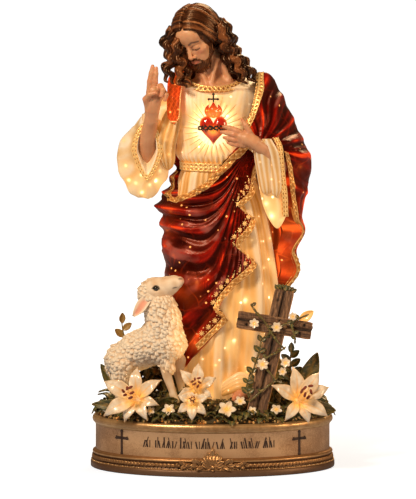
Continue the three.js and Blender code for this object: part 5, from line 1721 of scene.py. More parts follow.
def build_neck():
    def neck_field(p):
        made = rod_field(p, (0.5, 6, 268), (-6, 0.5, 296), 9.8, 8.6)
        made = melt(made, ball_field(p, (1, 5.5, 270), (24, 15, 8.6)), 5.0)
        made = melt(made, rod_field(p, (12, -2, 278), (4, 0, 294), 1.6, 2.4), 4.0)
        for a, b in (((-3.6, -9.4, 273), (-11.5, -4.0, 290)),
                     ((-1.6, -9.5, 273), (3.4, -4.4, 292))):
            made = melt(made, rod_field(p, a, b, 0.9, 1.6), 3.4)
        made = carve(made, ball_field(p, (-2.2, -12.6, 274.6), (1.4, 2.2, 2.4)), 2.2)
        return melt(made, rod_field(p, (1.6, -9.8, 272.6), (15, -8.0, 275.4), 0.8, 0.6), 2.4)

    neck = field_form(neck_field, (-24, -14, 264), (26, 20, 300), step=0.85)
    neck.marks = {"red": 0.12 + 0.1 * ripple(neck.points, size=9.0, seed=3),
                  "brown": np.zeros(len(neck.points))}
    piece("neck", neck, SKIN, "figure")


# Hair. Strands fall to both sides from the parting, then run on in long locks of twined strands.
CAP_MIDDLE, CAP_HALF = np.array([0, 3.2, 4.6]), np.array([15.4, 18.0, 18.6])


def on_cap(from_face, roll, lift=0.0):
    """A place on the hair's cap: an angle back from the face, a roll from the parting."""
    way = np.stack([np.sin(from_face) * np.sin(roll), -np.cos(from_face), np.sin(from_face)
                    * np.cos(roll)], -1)
    return CAP_MIDDLE + way * (CAP_HALF + np.asarray(lift)[..., None])


LOCKS = [[[-27.5, -15, 313], [-31.5, -13, 304], [-29, -12, 294], [-31, -12, 284],
          [-27, -14, 275.5]], [[-29, -6, 315], [-33.4, -4, 304], [-30.5, -4, 292], [-34, -5, 283],
                               [-31.5, -6, 275.5]],
         [[-25, -17.5, 308], [-26, -17, 298], [-22.6, -15, 289], [-24, -17, 280],
          [-19.5, -20, 272.5]], [[-22.5, -14, 303], [-21, -12.5, 294], [-18.5, -11, 286],
                                 [-19.6, -12.6, 279], [-15.4, -15.5, 274.5]],
         [[3.5, -15, 317], [8.6, -13.4, 308], [10.6, -9.4, 299], [16, -9, 291], [20.6, -12, 283.5],
          [24, -14.6, 274.5]], [[5, -9, 319], [11.6, -8, 309], [13.6, -5, 299], [20, -6.5, 291],
                                [25, -9, 283.5], [28.5, -10.5, 276]],
         [[6, -2, 320], [12.6, -1, 309.5], [16, 0, 298], [23, -2, 289.5], [28.6, -3, 282],
          [31.4, -4, 275]], [[4, 4, 320], [11, 6, 308], [15.5, 7, 296], [21.5, 7, 286.5],
                             [27, 5, 279]], [[2, -14, 312], [6.5, -9, 304], [8.6, -4.4, 295],
                                             [13.4, -4.5, 287], [18, -7, 280.5], [20.6, -9.6, 276]],
         ]


def twined_lock(keys, seed, strands=6, thick=3.4, wave=1.5, length=9.5):
    """A long lock: strands twined round a wavy path that thins to a curled end."""
    draw = np.random.default_rng(seed)
    count = 46
    path = through(keys, count)
    run = np.linspace(0, 1, count)
    far = lengths_along(path)
    _, side, other = frames_along(path, (1, 0, 0))
    phase = draw.uniform(0, TAU) + far * TAU / length
    grow = ease(0, 0.25, run)[:, None]
    path = path + grow * (side * (wave * np.sin(phase))[:, None] + other
                          * (wave * 0.8 * np.cos(phase))[:, None])
    girth = thick * np.interp(run, [0, 0.15, 0.6, 0.85, 1], [0.75, 1, 0.92, 0.66, 0.22])
    forms = []
    for k in range(strands):
        a = k * TAU / strands + far * TAU / 26 + draw.uniform(-0.2, 0.2)
        reach = girth * (0.56 + 0.08 * np.sin(far * 0.6 + k))
        line = path + side * (np.cos(a) * reach)[:, None] + other * (np.sin(a) * reach)[:, None]
        tone = draw.choice([0.05, 0.25, 0.45, 0.72])
        forms.append(tube(line, girth * 0.5, sides=5, strand=tone))
    # The core, seen between the twined strands, is marked darkest: painted shade in the gaps.
    forms.append(tube(path, girth * 0.55, sides=5, strand=0.0))
    return together(forms)


def combed_bands(bands=34):
    """Strands laid over the cap to both sides of the parting."""
    forms = []
    draw = np.random.default_rng(21)
    for side in (-1, 1):
        for k in range(bands):
            share = k / (bands - 1)
            start = rad(37 + 118 * share)
            sweep = rad(34) * (1 - share) ** 1.2
            end = rad((112 if side > 0 else 106) - 16 * share)
            u = np.linspace(0, 1, 28)
            roll = rad(1.2) + end * u
            back = start + sweep * u**1.5
            wave = 0.02 * np.sin(u * 17 + draw.uniform(0, TAU)) * ease(0.2, 0.6, u)
            lift = 0.25 + 0.5 * np.sin(math.pi * ease(0.0, 0.9, u)) + draw.uniform(-0.35, 0.35)
            lift = (lift - 1.3 * bump(u, 0, 0.035) + 0.8 * ease(0.55, 1, u)
                    * (1 + 0.5 * np.sin(u * 15 + k * 2.1)))
            line = on_cap(back + wave, side * roll, lift)
            width = np.interp(u, [0, 0.1, 0.7, 1],
                              [0.5, 0.95, 1.15, 1.2]) * (0.9 + 0.25 * draw.random())
            forms.append(tube(carried(line, HEAD_POSE), width, sides=5,
                              strand=draw.uniform(0.15, 0.9)))
    return forms


def fall_of_hair(around=132):
    """The mass of hair that falls behind the neck, in waves."""
    a = np.arange(around) * TAU / around
    waves = [[259, 0, 16, 21, 4], [266, -0.4, 17, 25, 6.5], [276, -1, 15, 26, 8],
             [292, -4, 11, 22.4, 12], [308, -9, 7, 18, 14.4], [318, -11, 5, 14.5, 14],
             [322, -11.4, 3.4, 11, 11]]
    z = np.linspace(259, 322, 56)[:, None] * np.ones(around)
    x, y, half_width, half_depth = keyed(waves, z)
    swing = 0.12 * np.sin(z / 4.4 + 1.6 * np.sin(3 * a))
    strand = ridge(26 * (a + swing))
    fine = ridge(67 * (a + swing) + 1)
    size = 0.94 + 0.1 * strand + 0.03 * fine
    rings = np.stack([x + half_width * size * np.sin(a), y - half_depth * size * np.cos(a), z], -1)
    # Marked light on the strand crests and dark between them: painted highlight and shade.
    return loft(rings, strand=np.clip(0.6 * strand + 0.4 * fine, 0, 1))


def under_hair(p):
    """The hair's ground below the strands, open at the face."""
    made = ball_field(p, (0, 3.4, 4.8), (14.9, 17.4, 17.9))
    return carve(made, ball_field(p, (0, -15.5, -2.5), (11.4, 15.5, 17.5)), 0.8)


def build_hair():
    forms = combed_bands()
    forms += [twined_lock(keys, seed) for seed, keys in enumerate(LOCKS)]
    forms.append(fall_of_hair())
    base = field_form(under_hair, (-16, -17, -16), (16, 22, 24), step=1.4)
    base.marks = {"strand": 0.3 + 0.4 * ridge(2.6 * base.points[:, 1] + 2.4 * base.points[:, 2])}
    forms.append(base.placed(HEAD_POSE))
    piece("hair", together(forms), HAIR, "figure")


def beard_field(p):
    q = mirrored(p, 0)
    made = ball_field(p, (0, -8.4, -15.4), (7.6, 6.6, 6.4))
    made = melt(made, rod_field(q, (11.0, -1.0, 0.0), (9.6, -3.6, -8.0), 1.1, 2.0), 1.5)
    made = melt(made, rod_field(q, (9.6, -3.6, -8.0), (5.0, -9.8, -14.8), 2.2, 2.6), 2.0)
    made = melt(made, rod_field(p, (0, -13.4, -15.6), (0, -11.6, -20.6), 2.6, 1.3), 2.0)
    lash = rod_field(q, (0.5, -16.0, -7.9), (4.0, -13.9, -9.2), 0.62, 0.75)
    lash = np.minimum(lash, rod_field(q, (4.0, -13.9, -9.2), (5.6, -11.6, -13.0), 0.75, 1.0))
    made = melt(made, lash, 0.8)
    lips = ball_field(p, (0, -16.0, -10.3), (3.6, 3.0, 1.9))
    return carve(made, lips, 0.7)


def build_beard():
    form = field_form(beard_field, (-15, -19, -24), (15, 4, 4), step=0.5)
    p = form.points
    comb = ridge(5.2 * p[:, 0] + 1.6 * p[:, 1] + 2.2 * np.sin(p[:, 2] * 0.7) + 0.5
                 * ripple(p, size=3.0, seed=2))
    form.points = p + form.normals() * (comb * 0.5 - 0.1)[:, None]
    # Marked light on the combed ridges and dark in the grooves: painted highlight and shade.
    form.marks = {"strand": 0.15 + 0.75 * comb}
    draw = np.random.default_rng(5)
    forms = [form]
    for _ in range(110):
        a = draw.uniform(-1.25, 1.25)
        z = draw.uniform(-16.5, -8)
        root = np.array([8.4 * np.sin(a), -5.6 - 7.6 * np.cos(a), z - 1.5 * (np.cos(a) > 0.6)])
        if abs(root[0]) < 4.4 and root[2] > -13:
            continue
        sway = draw.uniform(-0.7, 0.7)
        down = draw.uniform(3.2, 5.2)
        keys = [root, root + [sway, -0.7, -0.4 * down],
                root + [-sway * 0.4 - 0.12 * root[0], 0.2, -down]]
        forms.append(tube(through(keys, 8), [0.2, 0.5, 0.58, 0.56, 0.5, 0.4, 0.26, 0.1], sides=5,
                          strand=draw.uniform(0.2, 0.95)))
    piece("beard", together(forms).placed(HEAD_POSE), HAIR, "figure")


def build_eyes():
    ball, size = ball_form(24, 16), sized(2.35, 2.98, 1.5)
    eyes = together(ball.placed(pose(at(side * 4.6, -10.75, -0.15), size)) for side in (-1, 1))
    piece("eyes", eyes.placed(HEAD_POSE), EYE, "figure")


# Hands: each finger is a chain of joints [x, y, z, radius]
RIGHT_FINGERS = [[[-44.6, -27, 270, 2.5], [-44.4, -28.5, 278, 2.1], [-43.4, -29, 284, 1.85],
                  [-42.5, -29, 289.0, 1.3]], [[-41.4, -26.5, 270, 2.5], [-40.8, -28, 278, 2.1],
                                              [-40.2, -28.5, 283.5, 1.8],
                                              [-39.8, -28.5, 287.6, 1.25]],
                 [[-38.8, -26, 270, 2.3], [-36.8, -29.5, 275, 2.0], [-35.2, -33, 272.6, 1.8],
                  [-36.4, -34, 268.2, 1.35]], [[-37.2, -25.6, 266.4, 2.1], [-34.6, -28.6, 271, 1.8],
                                               [-32.8, -32, 269, 1.65], [-33.6, -33, 265.2, 1.2]],
                 [[-45.6, -26, 260, 2.8], [-47.4, -30, 265.6, 2.3], [-44.6, -33.8, 269.4, 1.95],
                  [-40.4, -35.4, 270.6, 1.45]],]
LEFT_FINGERS = [[[22, -29, 241, 2.3], [16.4, -30.4, 243.6, 2.0], [12, -29.8, 245.2, 1.75],
                 [7.8, -28.4, 246.0, 1.25]], [[21, -29.4, 238.4, 2.3], [15, -30.6, 240.6, 2.0],
                                              [9.6, -29.8, 241.8, 1.7], [6.2, -28.6, 242.2, 1.2]],
                [[21, -29.2, 235.6, 2.2], [15.4, -30.2, 236.8, 1.9], [11, -29.6, 237.6, 1.65],
                 [8.0, -28.6, 238.2, 1.15]], [[22, -28.6, 233.0, 2.0], [17, -29.2, 233.2, 1.75],
                                              [13.4, -28.8, 233.8, 1.5], [10.8, -28.2, 234.6, 1.1]],
                [[28, -28.4, 238, 2.6], [25.6, -30.8, 243.0, 2.15], [23.2, -31.2, 247.4, 1.85],
                 [21.0, -30.6, 251.0, 1.25]],]
RIGHT_PALM = [[-43.2, -21.5, 250, 4.3], [-42.9, -24.6, 258, 5.4], [-41.6, -26.4, 266, 5.6],
              [-41.3, -27.2, 271, 4.2]]
RIGHT_ARM = [[-48, 2, 214, 8.0], [-46.8, -10, 234, 6.6], [-43.6, -21, 250, 4.6]]
LEFT_PALM = [[35, -26.4, 230.6, 4.2], [29.6, -28.4, 234.6, 5.0], [24, -29.2, 237.6, 5.2],
             [20.4, -29.4, 238.6, 3.8]]
LEFT_ARM = [[50, -12, 216, 6.4], [41, -22, 225, 5.4], [34, -26.4, 231.4, 4.3]]


def hand_form(fingers, palm, arm, low, high):
    """A hand and forearm melted from chains, with webs between the fingers."""
    def field(p):
        made = melt(chain_field(p, palm), chain_field(p, arm), 2.0)
        for joints in fingers:
            made = melt(made, chain_field(p, joints), 0.7)
            for joint in joints[1:3]:
                made = melt(made, ball_field(p, joint[:3], (joint[3] * 1.06,) * 3), 0.4)
        for a, b in zip(fingers[0:3], fingers[1:4]):
            made = melt(made, rod_field(p, a[0][:3], b[0][:3], 2.2, 2.0), 1.4)
        return made

    form = field_form(field, low, high, step=0.62)
    tips = np.array([joints[3][:3] for joints in fingers] + [joints[1][:3] for joints in fingers])
    near = np.linalg.norm(form.points[:, None] - tips, axis=-1).min(1)
    warm = 0.34 * bump(near, 0, 2.4) + 0.06
    form.marks = {"red": warm, "brown": np.zeros(len(near))}
    return form


def nail(joints, out):
    """A fingernail on the end joint, facing the way the hand's back does."""
    tip, before = np.array(joints[3][:3]), np.array(joints[2][:3])
    way = unit(tip - before)
    face = unit(np.asarray(out, float) - way * (np.asarray(out, float) @ way))
    plate = bead_form().placed(pose(at(*(tip + face * joints[3][3] * 0.72)), facing(face, way),
                                    sized(0.85, 1.15, 0.5)))
    return Form(plate.points, plate.faces, red=0.45, brown=0.0)


def build_hands():
    right = hand_form(RIGHT_FINGERS, RIGHT_PALM, RIGHT_ARM, (-57, -38, 213), (-29, 10, 292))
    left = hand_form(LEFT_FINGERS, LEFT_PALM, LEFT_ARM, (4, -35, 211), (56, -6, 254))
    nails = [nail(j, (0, 0.2, 1)) for j in RIGHT_FINGERS[2:4]] + [nail(j, (0, -1, 0.3))
                                                                  for j in LEFT_FINGERS]
    piece("raised_hand", right, SKIN, "figure")
    piece("hand_at_heart", left, SKIN, "figure")
    piece("nails", together(nails), SKIN, "figure")


def build_foot():
    def foot_field(p):
        made = melt(ball_field(p, (20, -21, 54), (5.8, 12.5, 5.2)),
                    rod_field(p, (20, -12, 56), (20, 4, 62), 6.0, 7.0), 3.0)
        for k in range(5):
            x, y, r = 15.4 + 2.45 * k, -33.4 + 1.0 * k + 0.35 * k * k / 2, 1.75 - 0.14 * k
            toe = chain_field(p, [[x * 0.98 + 0.4, y + 8, 53, 1.9], [x, y + 1.8, 52.2, r],
                                  [x, y, 51.6, r * 0.85]])
            made = melt(made, toe, 0.6)
        return made

    foot = field_form(foot_field, (11, -38, 49.0), (30, 8, 66), step=0.6)
    foot.marks = {"red": 0.15 + 0.3 * ease(-28, -34, foot.points[:, 1]),
                  "brown": np.zeros(len(foot.points))}
    piece("foot", foot, SKIN, "figure")


# The heart with its flame, thorns and small cross
def build_heart():
    x, y, z = HEART
    around = 120
    a = np.linspace(0, TAU, around + 1)[:-1]
    edge = np.stack([10.2 * np.sin(a) ** 3 * 0.98,
                     0.78 * (13 * np.cos(a) - 5 * np.cos(2 * a) - 2 * np.cos(3 * a)
                             - np.cos(4 * a))], -1)
    edge[:, 1] = (edge[:, 1] + 13.26) / 22.4 * 21.8 - 11.8
    rings, glow = [], []
    middle = np.array([0.0, -0.4])
    for r, side in [(0.06 + 0.94 * k / 15, -1) for k in range(16)] + [(1 - 0.94 * k / 5, 1)
                                                                      for k in range(1, 6)]:
        swell = math.sqrt(max(0.0, 1 - r**2.4)) * (5.2 if side < 0 else 2.0)
        flat = middle + (edge - middle) * r
        dent = 1.4 * bump(flat[:, 0], 0, 2.2) * ease(-2, 7, flat[:, 1])
        rings.append(np.stack([x + flat[:, 0], np.full(around, y) + side * swell + dent
                               * (side < 0), z + flat[:, 1]], -1))
        core = 0.8 * bump(flat[:, 0], 0, 4.6) * bump(flat[:, 1] + 0.4, 0, 3.4)
        glow.append(core + 0.25 * ease(0.8, 1.0, r))
    piece("heart", loft(rings, glow=np.array(glow)), ENAMEL, "figure")


# The flame's tongues from the heart's middle: [keys for the viewer's right, thickness, sides, extra
# glow]
TONGUES = [
    [[[0, 0, 9.4], [0.2, -1.8, 12.6], [0, -1.4, 16.0], [0, -1.0, 20.0]], 3.0, (1,), 0.0],
    [[[0.6, 0, 9.8], [3.8, -1.4, 12.0], [4.6, -1.0, 14.8], [3.4, -0.4, 18.2]], 2.0, (-1, 1), 0.0],
    [[[0.4, -1, 9.4], [2.4, -2.6, 11.8], [2.9, -2.4, 14], [1.7, -1.6, 17.4]], 1.6, (-1, 1), 0.12],
]


def build_flame():
    x, y, z = HEART
    flames, count = [], 22
    run = np.linspace(0, 1, count)
    for keys, thick, sides, extra in TONGUES:
        for side in sides:
            path = through(np.array(keys) * [side, 1, 1], count) + HEART
            girth = thick * np.interp(run, [0, 0.3, 0.55, 0.8, 1], [0.6, 1.05, 1.0, 0.6, 0.1])
            flames.append(tube(path, girth, sides=10, glow=0.75 * (1 - run) ** 1.2 + extra))
    bead = bead_form()
    for dx, dz, size in ((-4.8, 14.2, 0.6), (4.8, 14.2, 0.6), (0, 14.6, 0.75), (-2.4, 11.8, 0.7),
                         (2.4, 11.8, 0.7), (0, 10.6, 0.7)):
        flames.append(bead.placed(pose(at(x + dx, y - 3.6, z + dz), sized(size)), glow=1.0))
    piece("flame", together(flames), ENAMEL, "figure")


def build_thorns():
    """Two thorny strands crossing round the heart, and the small cross over the flame."""
    x, y, z = HEART
    thorns, bead = [], bead_form()
    run = np.linspace(-1, 1, 72)
    for off in (0, math.pi):
        path = np.stack([x + 11.0 * run, y - 5.4 * np.sqrt(np.maximum(0, 1 - 0.86 * run**2)) - 0.5
                         * np.cos(9 * run + off), z + 2.0 + 1.25 * np.sin(9 * run + off) - 0.4
                         * run**2], -1)
        thorns.append(tube(path, 0.54, sides=6))
        for k in range(3, 71, 7):
            way = unit(np.array([math.cos(k * 1.7 + off) * 0.5, -0.5, 1.2 if (k + (off > 0)) % 2
                                 else -1.2]))
            thorns.append(tube([path[k], path[k] + way * 1.2, path[k] + way * 2.7],
                               [0.5, 0.36, 0.06], sides=5))
    bar = bar_form(width=1.1, length=7.2, depth=1.0, bevel=0.2)
    arm = bar_form(width=1.1, length=6.4, depth=1.0, bevel=0.2)
    front = pose(at(x, y - 0.6, z + 18.4), turn_x(90))
    thorns += [bar.placed(front),
               arm.placed(pose(front, at(0, 3.7, 0), turn_z(-90), at(0, -3.2, 0)))]
    for dx, dz in ((0, 7.2), (-3.2, 3.7), (3.2, 3.7)):
        for ox, oz in ((0.5, 0), (-0.5, 0), (0, 0.55 if dz > 6 else -0.5), (0, 0.3)):
            thorns.append(bead.placed(pose(front, at(dx + ox, dz + oz, 0), sized(0.6))))
    piece("thorns_and_cross", together(thorns), THORN, "figure")


# The lamb, in its own frame: it faces +x and stands on z = 0
LAMB_POSE = pose(at(-47.5, -22, STAND), turn_z(-12))
BARREL = [[-24, 0, 25, 4], [-17, 0, 29.5, 11.2], [-5, 0, 36.5, 13.6], [6, 0, 41, 14.6],
          [17, 0, 42.4, 12], [25, 0, 42, 4]]
NECK = [[12, 0, 43, 14], [13, 0, 57, 12.6], [11, 0, 67, 11.4], [6, 0, 74.5, 8.6]]
MUZZLE = [[8, 0, 79, 8.8], [15, 0, 82.6, 7.2], [20.4, 0, 85.0, 5.6], [24.4, 0, 86.2, 3.5]]
LEGS = [[13, 22, -1], [20, 26, 1], [-15, -18, -1], [-16, -13, 1]]


def lamb_trunk(p):
    """The lamb's body and neck below its wool."""
    made = melt(chain_field(p, BARREL), chain_field(p, NECK), 4.0)
    made = melt(made, ball_field(p, (4.2, 0, 77.4), (9.6, 8.6, 10.2)), 3.0)
    made = melt(made, chain_field(p, [[-21, 0, 36, 4.4], [-25, 0, 30, 4.0], [-25.4, 0, 21, 2.4]]),
                2.0)
    q = mirrored(p, 1)
    made = melt(made, rod_field(q, (14, 6.0, 36), (18.4, 6.4, 26), 7.6, 4.0), 3.5)
    return melt(made, rod_field(q, (-15, 6.0, 27), (-18, 6.4, 13), 8.6, 5.6), 3.5)


def lamb_face(p):
    """The lamb's bare face and legs."""
    q = mirrored(p, 1)
    made = melt(chain_field(p, MUZZLE), ball_field(p, (6.2, 0, 79.6), (9.8, 8.9, 9.2)), 2.5)
    made = melt(made, ball_field(q, (22.6, 1.8, 84.2), (3.4, 2.6, 2.8)), 1.2)
    made = melt(made, rod_field(p, (12, 0, 75.0), (20.6, 0, 80.6), 4.0, 2.6), 1.6)
    made = melt(made, rod_field(q, (6.4, 6.6, 84.6), (12.4, 5.8, 84.6), 1.7, 1.2), 1.4)
    made = carve(made, rod_field(q, (27.4, 0, 84.6), (20.6, 5.4, 81.4), 0.4, 0.25), 0.35)
    made = carve(made, rod_field(q, (26.4, 1.6, 88.4), (24.8, 3.0, 88.6), 0.6, 0.4), 0.4)
    made = carve(made, ball_field(q, (9.2, 8.4, 81.6), (2.3, 1.7, 1.8)), 0.6)
    for hip, hoof, side in LEGS:
        bend = (hip + hoof) / 2 + (1.5 if hip < 0 else -0.6)
        y = side * 6.4
        keys = [[hip + 2.6, y, 29, 5.2], [bend, y, 19, 3.3], [hoof - 1.2, y, 8, 2.6],
                [hoof - 0.2, y, 3.8, 3.0], [hoof + 0.8, y, 1.4, 3.2]]
        leg = chain_field(p, keys)
        cleft = rod_field(p, (hoof + 4, y, 0), (hoof + 3.4, y, 5), 0.4, 0.3)
        made = np.minimum(made, carve(leg, cleft, 0.4))
    return np.maximum(made, -p[..., 2])


def tuft_form():
    """A lock of wool: a scale that lifts to a rounded tip."""
    t, v = np.meshgrid(np.linspace(0, 1, 3), np.linspace(-1, 1, 4), indexing="ij")
    half = 1.95 * np.sin(math.pi * (0.28 + 0.52 * t)) ** 0.6
    rise = 0.1 + 0.95 * t * (1 - 0.35 * v * v)
    top = np.stack([v * half, 4.0 * t * (1 - 0.2 * v * v), rise], -1)
    # The tuft mark rises from root to tip, so the roots take painted shade.
    return shell(top, top - [0, 0, 0.7], tuft=0.3 + 0.75 * t * (1 - 0.2 * np.abs(v)))


def spread(points, gap, seed):
    """Picks points that stand at least a gap from each other."""
    order = np.random.default_rng(seed).permutation(len(points))
    taken, cells = [], {}
    for k in order:
        key = tuple((points[k] // gap).astype(int))
        near = [j for dx in (-1, 0, 1) for dy in (-1, 0, 1) for dz in (-1, 0, 1)
                for j in cells.get((key[0] + dx, key[1] + dy, key[2] + dz), ())]
        if all(((points[k] - points[j]) ** 2).sum() > gap * gap for j in near):
            cells.setdefault(key, []).append(k)
            taken.append(k)
    return taken


def build_fleece():
    trunk = field_form(lamb_trunk, (-36, -18, 5), (40, 18, 94), step=1.1)
    normals, p = trunk.normals(), trunk.points
    # The body seen between the tufts is marked darker: painted shade in the gaps, less up the neck.
    trunk.marks = {"tuft": 0.42 + 0.2 * ease(68, 74, p[:, 2])}
    face = (p[:, 0] > 3.6) & (p[:, 2] > 76)
    wool = np.flatnonzero(~face & ~((p[:, 2] < 24) & (normals[:, 2] < -0.85)))
    tuft, forms = tuft_form(), [trunk]
    draw = np.random.default_rng(8)
    for k in wool[spread(p[wool], gap=2.3, seed=3)]:
        spot, normal = p[k], normals[k]
        flow = np.array([-0.55 - 0.5 * (spot[2] > 60), 0.25 * draw.normal(), -0.75])
        if spot[2] > 84:
            flow = np.array([-0.9, 0.9 * np.sign(spot[1]), 0.2])
        flow = flow + 0.16 * draw.normal(size=3)
        turn = facing(normal, flow)
        size = draw.uniform(1.0, 1.25) * (0.8 if spot[2] > 70 else 1.0)
        forms.append(tuft.placed(pose(at(*(spot - normal * 0.3)), turn,
                                      turn_z(draw.uniform(-10, 10)), sized(size))))
    body = together(forms)
    x, z = body.points[:, 0], body.points[:, 2]
    chest = (ease(16, 27, x) * ease(80, 66, z) * ease(20, 40, z) + 0.9 * ease(30, 18, z)
             * ease(-16, 0, x))
    body.marks["glow"] = 0.6 * np.clip(chest, 0, 1) * (0.35 + 0.65 * body.marks["tuft"])
    piece("lamb_fleece", body.placed(LAMB_POSE), FLEECE, "lamb")


def ear_form(side, rows=20, cols=15):
    """A drooping ear, cupped and pink inside."""
    keys = through([[4.2, side * 7.4, 75.4], [0.6, side * 10.4, 71.4], [-2.6, side * 11.6, 66.6],
                    [-6.4, side * 11.8, 61.6]], rows)
    u, v = np.linspace(0, 1, rows), np.linspace(-1, 1, cols)
    half = 4.1 * np.sin(math.pi * (0.1 + 0.86 * u) ** 0.9) ** 0.8
    along, across = unit(np.gradient(keys, axis=0)), np.array([0.86, side * 0.1, -0.5])
    face_out = -unit(np.cross(along, across)) * side
    cup = (1.6 * (v[None] ** 2 - 0.5))[..., None] * face_out[:, None]
    front = keys[:, None] + (half[:, None] * v)[..., None] * unit(across) + cup
    thick = (1.5 - 0.9 * np.abs(v))[None, :, None] * face_out[:, None]
    inner = (np.exp(-((v[None] / 0.62) ** 4)) * np.ones((rows, 1)) * ease(0.1, 0.3, u)[:, None]
             * ease(1, 0.8, u)[:, None])
    ear = shell(front, front - thick)
    count = rows * cols
    ear.marks = {"tuft": np.full(2 * count, 0.75),
                 "pink": np.concatenate([inner.ravel() * 0.9, np.zeros(count)])}
    return ear


def build_lamb_face():
    bare = field_form(lamb_face, (-26, -13, -1), (33, 13, 92), step=0.68)
    p = bare.points
    q = mirrored(p, 1)
    nose = np.exp(-(((q - [26.8, 1.0, 87.4]) / [2.2, 3.0, 2.2]) ** 2).sum(1))
    holes = near_line(q, [(26.6, 1.6, 88.4), (24.8, 3.0, 88.6)], width=0.8)
    mouth = near_line(q, [(27.4, 0, 84.6), (20.6, 5.6, 81.4)], width=0.6)
    lids = [(6.6, 0, 81.6), (8.6, 0, 83.6), (10.8, 0, 83.0), (11.9, 0, 81.2)]
    rims = near_line(q * [1, 0, 1], lids, width=0.5) * (q[:, 1] > 5)
    hooves = ease(3.2, 1.6, p[:, 2])
    bare.marks = {"tuft": 0.52 + 0.14 * ripple(p, size=7.0, seed=5), "pink": 0.5 * nose,
                  "glow": 0.25 * ease(18, 27, p[:, 0]) * ease(20, 8, p[:, 2]),
                  "dark": np.clip(0.85 * holes + 0.8 * mouth + 0.85 * rims + 0.75 * hooves, 0, 1)}
    whole = together([bare, ear_form(-1), ear_form(1)])
    piece("lamb_face_and_legs", whole.placed(LAMB_POSE), FLEECE, "lamb")
    ball, size = ball_form(20, 14), sized(2.0, 1.3, 1.75)
    eyes = together(ball.placed(pose(at(9.2, side * 7.9, 81.6), size)) for side in (-1, 1))
    piece("lamb_eyes", eyes.placed(LAMB_POSE), EYE, "lamb")


# The plank cross, in its own frame: +z runs up the middle of the post
CROSS_POSE = pose(at(30.5, -46, 41), turn_x(-8), turn_y(13))


def plank_form(width, length, depth, seed, low=0.0, holes=()):
    """A weathered plank up +z, with a groove down its face, worn edges, grain and nail holes."""
    rows = 84
    across = np.linspace(-1, 1, 41)
    side = np.linspace(-1, 1, 9)[1:-1]
    outline = np.vstack([np.stack([across, -np.ones(41)], -1), np.stack([np.ones(7), side], -1),
                         np.stack([across[::-2], np.ones(21)], -1),
                         np.stack([-np.ones(7), side[::-1]], -1)])
    z = np.linspace(low, length, rows)
    u, w = outline[:, 0] * np.ones((rows, 1)), outline[:, 1] * np.ones((rows, 1))
    x, y, up = u * width / 2, w * depth / 2, z[:, None] * np.ones(len(outline))
    round_off = 1.0 * np.maximum(np.abs(u) - 0.86, 0) / 0.14 * (np.abs(w) > 0.99)
    groove = bump(x, 0, 0.95) * (np.abs(w) > 0.99)
    place = np.stack([x * 2.2, y * 2.2, up * 0.25], -1)
    grain = ripple(place, size=3.4, seed=seed) + 0.6 * ripple(place, size=1.6, seed=seed + 1)
    cut = 1.7 * groove + round_off + 0.22 * grain
    for hx, hz in holes:
        cut = cut + 1.6 * bump((x - hx) ** 2 + (up - hz) ** 2, 0, 1.1) * (w < -0.99)
    y = y - np.sign(w) * cut * (np.abs(w) > 0.99)
    x = x - np.sign(u) * (0.3 + 0.25 * ripple(np.stack([0 * up, w, up], -1), size=14.0,
                                              seed=seed + 2)) * (np.abs(u) > 0.97)
    near = np.minimum(up - low, length - up)
    shrink = 1 - 0.07 * bump(near, 0, 1.2)
    up = up + 0.5 * ripple(np.stack([x, y, 0 * x], -1), size=4.0, seed=seed + 3) * bump(near, 0, 2)
    rings = np.stack([x * shrink, y * shrink, up], -1)
    # Darker down the groove, in the nail holes and where the grain dips.
    dark = np.clip(groove * 0.8 + 0.5 * (grain < -0.8), 0, 1)
    for hx, hz in holes:
        dark = np.maximum(dark, bump((x - hx) ** 2 + (up - hz) ** 2, 0, 1.2) * (w < -0.99))
    # Lighter along the edges, where the wood is worn, and twice as strong along the +x side:
    # painted light there.
    edge = np.clip(bump(1, np.abs(u), 0.1) * (0.5 + 0.5 * (u > 0)) + 0.3 * np.clip(grain, 0, 1), 0,
                   1)
    return loft(rings, edge=edge, dark=dark)


def small_flower(radius, petals=5, cup=0.16):
    """A small open flower of rounded petals, face up +z, with a golden eye."""
    petal = blade_form(radius, half=radius * 0.34, thick=0.5, rise=lambda t: cup * t * (2 - t),
                       keel=0.3, rows=7, cols=5, point=1.1)
    forms = []
    for k in range(petals):
        form = petal.placed(turn_z(360 * k / petals))
        form.marks = {"throat": bump(petal.marks["along"], 0, 0.36),
                      "vein": 0.5 * petal.marks["vein"]}
        forms.append(form)
    bead = bead_form()
    for k in range(6):
        a = k * TAU / 5
        spot = ((0, 0, 0.13 * radius) if k == 5
                else (0.1 * radius * math.cos(a), 0.1 * radius * math.sin(a), 0.1 * radius))
        forms.append(bead.placed(pose(at(*spot), sized(0.09 * radius)), throat=1.0, vein=0.6))
    return together(forms)


# The vine on the cross, in the cross's frame: paths of [x, y, z] over the front of the planks
VINES = [[[-21, -1, 77], [-19.7, -6, 75.2], [-14, -6.6, 70.6], [-9, -6.4, 67], [-2.2, -6.2, 59.8],
          [4, -5.6, 54.6], [9.3, -2, 51.3]], [[-7.6, -2, 55], [-3, -6, 60.4], [3.3, -6.6, 66.7],
                                              [12.9, -6.4, 73.6], [17, -6.2, 76.8], [20, -2, 79]],
         [[8.4, -5.8, 72], [11, -6.6, 67], [14.3, -6.2, 61.3], [15.4, -2, 57]],
         [[-8, -1, 37.4], [-3.1, -5.4, 41.2], [2.4, -5.6, 46.4], [7.7, -4, 50.6], [9.4, 0, 53]],
         [[-9, 0, 41], [-6.8, -4.4, 38], [-0.9, -5.6, 34.9], [5.2, -5.6, 30.6], [7, -4.6, 28],
          [4.5, -5.4, 24.3], [-1, -5.8, 17.4], [-6.5, -5, 9.6]],
         [[-7.6, -3, 12], [-11, -4.6, 20.3], [-9.4, -4.6, 29.3], [-8.6, -4, 38], [-7.8, -4, 46.4],
          [-8.4, -3.4, 54]],]


